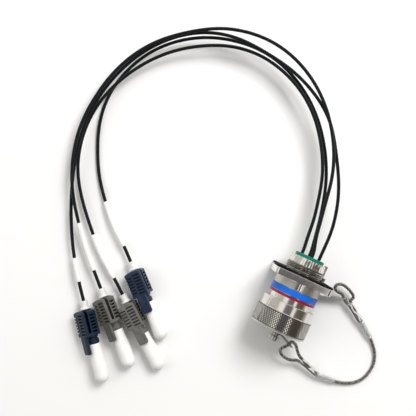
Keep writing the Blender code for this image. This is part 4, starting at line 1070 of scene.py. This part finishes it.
shrink_inside = ROPE_RADIUS + 0.05 * MM
shrink_outside = ROPE_RADIUS + SLEEVE_CLEARANCE + SHRINK_WALL
for name, start, end in (
    ("upper", GAP, SHRINK_LENGTH),
    ("lower", rope_length - SHRINK_LENGTH, rope_length - GAP),
):
    stretch = spaced(rope_path, 0.5 * MM, start, end)
    shape = sleeve_shape(stretch, lambda share: shrink_inside, lambda share: shrink_outside)
    piece = make_piece(f"{name}_clear_sleeve", shape, Matrix.Identity(4), [clear_plastic])
    bend_between_bodies(piece, f"{name}_shrink_sleeve")


# The plugs: latching simplex plugs moulded in one piece of plastic. Each has a ribbed face with a
# smooth ridge, a crowned rear, a long gap and a row of slots in each flank, a latch lever that
# reaches forwards from its top, and a grooved nose round the fibre's ferrule.
PLUGS = {
    1: dict(place=(-114.5, -63.0, 6.4), heading=-51.5, roll=50, marker_gap=12.5, marker=15.5),
    2: dict(place=(-107.1, -50.8, 6.1), heading=-44.5, roll=40, marker_gap=12.5, marker=32.0),
    3: dict(place=(-92.3, -48.1, 4.95), heading=-38.3, roll=10, marker_gap=12.0, marker=31.0),
    4: dict(place=(-96.7, -27.1, 4.95), heading=-42.5, roll=15, marker_gap=11.0, marker=31.0),
}
PLUG_LENGTH = 15.6 * MM
PLUG_CROWN = 1.2 * MM
PLUG_WIDTH = 11.0 * MM
PLUG_LOW, PLUG_HIGH = -3.2 * MM, 6.8 * MM
LEVER_REACH = 11.5 * MM
LEVER_WIDTH = 6.4 * MM
LEVER_THICKNESS = 1.8 * MM
LEVER_CHAMFER = 0.8 * MM
NOSE_LENGTH = 5.3 * MM
NOSE_RADIUS = 3.75 * MM
TIP_RADIUS = 3.0 * MM
TIP_LENGTH = 8.0 * MM
RIB_PITCH = 2.0 * MM
RIB_GROOVE = 1.0 * MM
RIB_DEPTH = 1.2 * MM
RIDGE_LOW, RIDGE_HIGH = -1.35 * MM, -0.25 * MM
SLOT_PITCH = 2.1 * MM
FLANK_SLOTS = 6

cell_tree, cell = new_tree("row_of_cuts", {
    "Count": "Int", "First": "Vector", "Step": "Vector", "Size": "Vector", "Material": "Material",
})
cell_line = node(cell_tree, "GeometryNodeMeshLine", {
    "Count": cell["Count"], "Start Location": cell["First"], "Offset": cell["Step"],
}).outputs[0]
cell_cube = node(cell_tree, "GeometryNodeMeshCube", {"Size": cell["Size"]}).outputs["Mesh"]
cells = node(cell_tree, "GeometryNodeInstanceOnPoints", {
    "Points": cell_line, "Instance": cell_cube,
}).outputs[0]
end_tree(cell_tree, cells, cell["Material"])


def row_of_cuts(shape, count, first, step, size):
    values = {"Count": count, "First": first, "Step": step, "Size": size, "Material": nickel}
    shape.from_mesh(grown(cell_tree, values))


half_width = PLUG_WIDTH / 2
crown_radius = (half_width**2 + PLUG_CROWN**2) / (2 * PLUG_CROWN)
crown_spread = math.asin(half_width / crown_radius)
crown = [
    (crown_radius - PLUG_CROWN - crown_radius * math.cos(turn), crown_radius * math.sin(turn))
    for turn in (crown_spread * (1 - step / 8) for step in range(17))
]
body_shape = cut_sheet(
    [[(PLUG_LENGTH, -half_width), (PLUG_LENGTH, half_width), *crown]], PLUG_HIGH - PLUG_LOW, 0.55 * MM,
    low=PLUG_LOW,
)
plug_model = make_piece("plug_model", body_shape, Matrix.Identity(4), [])

lever_start, lever_end = PLUG_LENGTH - 1.5 * MM, PLUG_LENGTH + LEVER_REACH
lever_half = LEVER_WIDTH / 2
lever_corner = (lever_end - LEVER_CHAMFER, lever_half - LEVER_CHAMFER)
lever_outline = [(lever_start, -lever_half), (lever_corner[0], -lever_half), (lever_end, -lever_corner[1]),
                 (lever_end, lever_corner[1]), (lever_corner[0], lever_half), (lever_start, lever_half)]
lever_low = PLUG_HIGH - LEVER_THICKNESS
lever_shape = cut_sheet([lever_outline], LEVER_THICKNESS - 0.1 * MM, 0.3 * MM, low=lever_low)
combine(plug_model, "UNION", lever_shape, Matrix.Identity(4))

nose_end = PLUG_LENGTH + NOSE_LENGTH
groove = PLUG_LENGTH + 1.6 * MM
tip_end = nose_end + TIP_LENGTH
nose_root = PLUG_LENGTH - 2 * MM
groove_foot = NOSE_RADIUS - 0.7 * MM
nose_shape = turned_solid([
    (0.5 * MM, tip_end), (TIP_RADIUS, tip_end), (TIP_RADIUS, nose_end), (NOSE_RADIUS, nose_end),
    (NOSE_RADIUS, groove + 1.1 * MM), (groove_foot, groove + 0.8 * MM), (groove_foot, groove),
    (NOSE_RADIUS, groove - 0.3 * MM), (NOSE_RADIUS, nose_root), (0.5 * MM, nose_root),
], EDGE, 48)
FORWARDS = Matrix.Rotation(math.pi / 2, 4, "Y")
bmesh.ops.transform(nose_shape, matrix=FORWARDS, verts=nose_shape.verts)
combine(plug_model, "UNION", nose_shape, Matrix.Identity(4))

cuts = bmesh.new()
cut_depth = 2 * RIB_DEPTH
left_size = (RIB_GROOVE, half_width + RIDGE_LOW + 1 * MM, cut_depth)
right_size = (RIB_GROOVE, half_width - RIDGE_HIGH - 1.1 * MM, cut_depth)
left_middle = RIDGE_LOW - left_size[1] / 2
right_middle = RIDGE_HIGH + right_size[1] / 2
along_rib = (RIB_PITCH, 0, 0)
row_of_cuts(cuts, 6, (2.7 * MM, left_middle, PLUG_HIGH), along_rib, left_size)
row_of_cuts(cuts, 7, (1.7 * MM, right_middle, PLUG_HIGH), along_rib, right_size)
gap_height = PLUG_HIGH - LEVER_THICKNESS - 1.1 * MM
gap_size = (15.6 * MM, 6.2 * MM, 2.2 * MM)
slot_size = (1.25 * MM, 5.0 * MM, 3.4 * MM)
first_slot = (PLUG_LENGTH - (FLANK_SLOTS - 1) * SLOT_PITCH) / 2
for flank in (-half_width, half_width):
    row_of_cuts(cuts, 1, (5.8 * MM, flank, gap_height), (0, 0, 0), gap_size)
    row_of_cuts(cuts, FLANK_SLOTS, (first_slot, flank, gap_height - 3.75 * MM), (SLOT_PITCH, 0, 0), slot_size)
row_of_cuts(cuts, 1, (PLUG_LENGTH + LEVER_REACH / 2 + 1 * MM, lever_half - 1.5 * MM, PLUG_HIGH), (0, 0, 0),
            (LEVER_REACH + 3 * MM, 0.45 * MM, 0.8 * MM))
combine(plug_model, "DIFFERENCE", cuts, Matrix.Identity(4))
# Faces inside the cuts (the ribs' grooves, the gaps and the slots) take material 1: painted shade.
for face in plug_model.data.polygons:
    x, y, z = face.center
    margins = (x - 0.3 * MM, PLUG_LENGTH - 0.3 * MM - x, half_width - abs(y) - 0.2 * MM,
               PLUG_HIGH - 0.2 * MM - z, z - PLUG_LOW - 0.2 * MM)
    face.material_index = 1 if min(margins) > 0 else 0

plug_finishes, recess_painted_shades = {}, {}
for number, name, deep, pale in (
    (1, "navy_plastic", (0.005, 0.014, 0.036), (0.009, 0.022, 0.05)),
    (2, "grey_plastic", (0.1, 0.097, 0.087), (0.15, 0.146, 0.133)),
    (3, "light_grey_plastic", (0.115, 0.112, 0.103), (0.17, 0.165, 0.152)),
    (4, "slate_blue_plastic", (0.012, 0.023, 0.052), (0.02, 0.036, 0.075)),
):
    plug_finishes[number] = new_finish(name, pale, 0.45, specular=0.35)
    add_mottle(plug_finishes[number], 350, deep, pale, (0.38, 0.52))
    add_grain(plug_finishes[number], 2200, 0.25)
    # Each plug's recess colour is its own colour darkened to 0.4: painted shade for the inside of its cuts.
    shade = [tuple(0.4 * part for part in colour) for colour in (deep, pale)]
    recess_painted_shades[number] = new_finish(name + "_recess", shade[1], 0.6, specular=0.2)
    add_mottle(recess_painted_shades[number], 350, *shade, (0.55, 0.65))

plug_frames, plug_pieces = {}, {}
for number, plug in PLUGS.items():
    heading = Matrix.Rotation(math.radians(plug["heading"]), 4, "Z")
    turn = heading @ Matrix.Rotation(math.radians(plug["roll"]), 4, "X")
    plug_frames[number] = Matrix.Translation(Vector(plug["place"]) * MM) @ turn
    shape = shape_of(plug_model.data)
    finishes = [plug_finishes[number], recess_painted_shades[number]]
    piece = make_piece(f"latching_plug_{number}", shape, plug_frames[number], finishes, crease=32)
    slot = "dark_blue_plastic" if number in (1, 4) else "grey_plastic"
    plug_pieces[number] = fit(piece, "receptacle", slot, f"plug_{number}")
bpy.data.objects.remove(plug_model)


# The crimp rings: turned nickel-plated rings pressed over the cable's end behind each plug, with a
# flange against the plug's rear.
RING_LENGTH = 5.5 * MM
RING_RADIUS = 2.6 * MM
RING_FLANGE_RADIUS = 3.3 * MM
CABLE_RADIUS = 1.1 * MM
ring_front = -PLUG_CROWN - GAP
ring_rear = ring_front - RING_LENGTH
ring_hole = CABLE_RADIUS + 0.12 * MM
hole_floor = ring_rear + 2.5 * MM
ring_outline = [
    (0.5 * MM, ring_front), (RING_FLANGE_RADIUS, ring_front), (RING_FLANGE_RADIUS, ring_front - 0.9 * MM),
    (RING_RADIUS, ring_front - 1.1 * MM), (RING_RADIUS, ring_rear), (ring_hole, ring_rear),
    (ring_hole, hole_floor), (0.5 * MM, hole_floor),
]
ring_nickel = new_finish("satin_ring_nickel", (0.88, 0.88, 0.87), 0.34, 0.3)
add_mottle(ring_nickel, 420, (0.84, 0.84, 0.825), (0.92, 0.92, 0.91), (0.28, 0.42))
for number, place in plug_frames.items():
    ring = turned_solid(ring_outline, 0.2 * MM, 64)
    piece = make_piece(f"cable_crimp_ring_{number}", ring, place @ FORWARDS, [ring_nickel])
    fit(piece, "receptacle", "steel", f"crimp_ring_{number}")


# The dust caps: soft white rubber caps, moulded with a round end and a slight swell, pushed over
# the plugs' ferrules.
CAP_LENGTH = 25.7 * MM
CAP_MOUTH_RADIUS = 4.05 * MM
CAP_RADIUS = 4.7 * MM
CAP_BORE_RADIUS = TIP_RADIUS + 0.4 * MM
CAP_BORE_DEPTH = 20.0 * MM
white_rubber = new_finish("white_rubber", (0.86, 0.86, 0.845), 0.45)
add_mottle(white_rubber, 150, (0.84, 0.84, 0.82), (0.9, 0.9, 0.885), (0.38, 0.52))
add_grain(white_rubber, 1500, 0.08)
white_look = shader_of(white_rubber).inputs
white_look["Subsurface Weight"].default_value = 0.15
white_look["Subsurface Radius"].default_value = (0.002, 0.002, 0.002)
mouth = nose_end + GAP
cap_tip = mouth + CAP_LENGTH
round_end = [
    (CAP_RADIUS * math.sin(turn), cap_tip - CAP_RADIUS * (1 - math.cos(turn)))
    for turn in (math.pi / 2 * step / 12 for step in range(13))
]
swell = [
    (CAP_MOUTH_RADIUS + (CAP_RADIUS - CAP_MOUTH_RADIUS) * (0.5 + 0.5 * math.cos(math.pi * step / 10)),
     mouth + 0.5 * CAP_LENGTH * (1 - step / 10) + 1.2 * MM)
    for step in range(11)
]
lip = rounded([(CAP_MOUTH_RADIUS, mouth + 1 * MM), (CAP_MOUTH_RADIUS, mouth), (CAP_BORE_RADIUS, mouth),
               (CAP_BORE_RADIUS, mouth + CAP_BORE_DEPTH), (0.5 * MM, mouth + CAP_BORE_DEPTH)], 0.3 * MM)
dust_profile = [*round_end, *swell, *lip, (0, mouth + CAP_BORE_DEPTH)]
for number, place in plug_frames.items():
    dust_cap = turned(dust_profile, 56)
    piece = make_piece(f"rubber_dust_cap_{number}", dust_cap, place @ FORWARDS, [white_rubber])
    fit(piece, f"dust_cap_{number}", "white_rubber", f"dust_cap_{number}")


# The cables: four plastic fibres in black polyethylene jackets, 2.2 mm across. They leave the
# grommet straight, sweep round in one wide loop and come down on the table at their plugs.
GROMMET_INSET = 1.5 * MM
CABLE_STEP = 2.0 * MM
HOLE_ANGLES = {1: 0.0, 2: 90.0, 3: 180.0, 4: 270.0}
ROUTES = {
    1: [
        (5.7, 40, 18.25), (5.2, 49.5, 18.35), (3.6, 58.5, 18.45), (0.6, 69, 18.55), (-5, 81.5, 19.1),
        (-12.5, 94.5, 18.7),
        (-25, 111.5, 18.3), (-41, 123, 17.9), (-60, 130.5, 17), (-80, 134, 16.1),
        (-101, 134.5, 15.15), (-119.5, 129.5, 13.75), (-135, 119.5, 12.35), (-151, 100.5, 10.95),
        (-162, 74, 9.05), (-165, 50, 8.15), (-162, 26, 7.2), (-155.5, 4.5, 6.8),
        (-147, -15, 6.4), (-137, -33, 6),
    ],
    2: [
        (-2, 39, 24.25), (-4, 50, 23.85), (-6, 62.5, 23.45), (-8.5, 77, 23.05), (-12.5, 89.5, 22.6),
        (-18.5, 101.5, 21.7), (-31.5, 118.5, 20.8), (-51, 133, 19.9), (-74, 140.5, 19),
        (-96, 140, 17.6), (-111, 135.5, 16.65), (-127.5, 126, 15.25), (-144.5, 111.5, 13.85),
        (-159, 88.5, 12.45), (-165.5, 64, 11.05), (-166.5, 43, 10.15), (-163, 24.5, 9.7),
        (-154.5, 4.5, 9.3), (-142.5, -13, 7.9), (-130, -28, 6.5),
    ],
    3: [
        (-6.5, 38, 18.25), (-7.5, 49, 17.85), (-10, 62.5, 17.45), (-14, 77.5, 17.05), (-20.5, 91.5, 16.1),
        (-32, 107.5, 15.7), (-46, 119.5, 15.3), (-61, 127, 14.4), (-78.5, 131, 13.5),
        (-98, 129.5, 12.6), (-117, 122, 11.15), (-136, 108.5, 9.25), (-151, 90, 7.85),
        (-160.5, 70, 6.45), (-164, 50, 5.55), (-162.5, 33, 5.15), (-157.5, 17.5, 4.7),
        (-148.5, 3, 4.3), (-133, -14.5, 4.9), (-120, -27, 4.65),
    ],
    4: [
        (-1, 38, 12.75), (-3, 49.5, 12.85), (-6, 63, 12.95), (-10.5, 77, 13.55), (-17, 90.5, 13.1),
        (-27, 105, 12.7), (-39.5, 117.5, 12.3), (-56, 128, 11.4), (-77, 134.5, 10.5),
        (-99, 134, 9.1), (-118.5, 128, 7.65), (-135, 117.5, 6.25), (-148, 103, 4.85),
        (-156.5, 85, 3.45), (-159.5, 67, 2.55), (-157.5, 50.5, 2.15), (-151.5, 34, 1.7),
        (-143, 18.5, 1.8), (-132, 5, 3.4), (-119.5, -7.5, 4.65),
    ],
}
jacket = new_finish("cable_jacket", (0.006, 0.007, 0.009), 0.4, specular=0.22)
add_mottle(jacket, 500, (0.004, 0.005, 0.0065), (0.008, 0.0095, 0.012), (0.34, 0.5))
add_grain(jacket, 1200, 0.15)

cable_paths, cable_pieces = {}, {}
for number, plug in PLUGS.items():
    turn = math.radians(HOLE_ANGLES[number])
    across, up = FIBRE_CIRCLE * math.cos(turn), -FIBRE_CIRCLE * math.sin(turn)
    start = RECEPTACLE @ Vector((across, up, GROMMET_END - GROMMET_INSET))
    way = (plug_frames[number].to_3x3() @ Vector((1, 0, 0))).normalized()
    end = plug_frames[number] @ Vector((ring_rear + GROMMET_INSET, 0, 0))
    points = [start, start + Vector((0, 3 * CABLE_RADIUS, 0))]
    points += [Vector(point) * MM for point in ROUTES[number]]
    points += [end - way * 9 * CABLE_RADIUS, end - way * 4 * CABLE_RADIUS, end]
    path = smooth_path(points, CABLE_STEP)
    cable_paths[number] = path
    curve = line_through(path)
    curve.bevel_depth = CABLE_RADIUS
    curve.bevel_resolution = 5
    curve.use_fill_caps = True
    curve.materials.append(jacket)
    piece = new_object(f"fibre_cable_{number}", curve)
    cable_pieces[number] = fit(piece, "receptacle", "cable_jacket", f"cable_{number}")


# The marker sleeves: white heat-shrink tubes on each cable near its plug, left bare.
MARKER_WALL = 0.35 * MM
MARKER_DRAW = 0.25 * MM
MARKER_END_SHARE = 0.05
white_sleeve = new_finish("white_sleeve", (0.84, 0.84, 0.83), 0.42)
add_mottle(white_sleeve, 300, (0.82, 0.82, 0.805), (0.88, 0.88, 0.87), (0.36, 0.5))


def marker_outer(share):
    """The sleeve's outer radius: drawn down on the cable for a short way at each end."""
    end_share = min(share, 1 - share)
    full = CABLE_RADIUS + SLEEVE_CLEARANCE + MARKER_WALL
    return full - MARKER_DRAW * max(0.0, 1 - end_share / MARKER_END_SHARE)


for number, plug in PLUGS.items():
    path = cable_paths[number]
    marker_end = lengths_along(path)[-1] - GROMMET_INSET - plug["marker_gap"] * MM
    marker_start = marker_end - plug["marker"] * MM
    stretch = spaced(path, 0.8 * MM, marker_start, marker_end)
    shape = sleeve_shape(stretch, lambda share: CABLE_RADIUS + 0.1 * MM, marker_outer)
    piece = make_piece(f"white_marker_{number}", shape, Matrix.Identity(4), [white_sleeve])
    fit(piece, "receptacle", "white_sleeve", f"marker_sleeve_{number}")
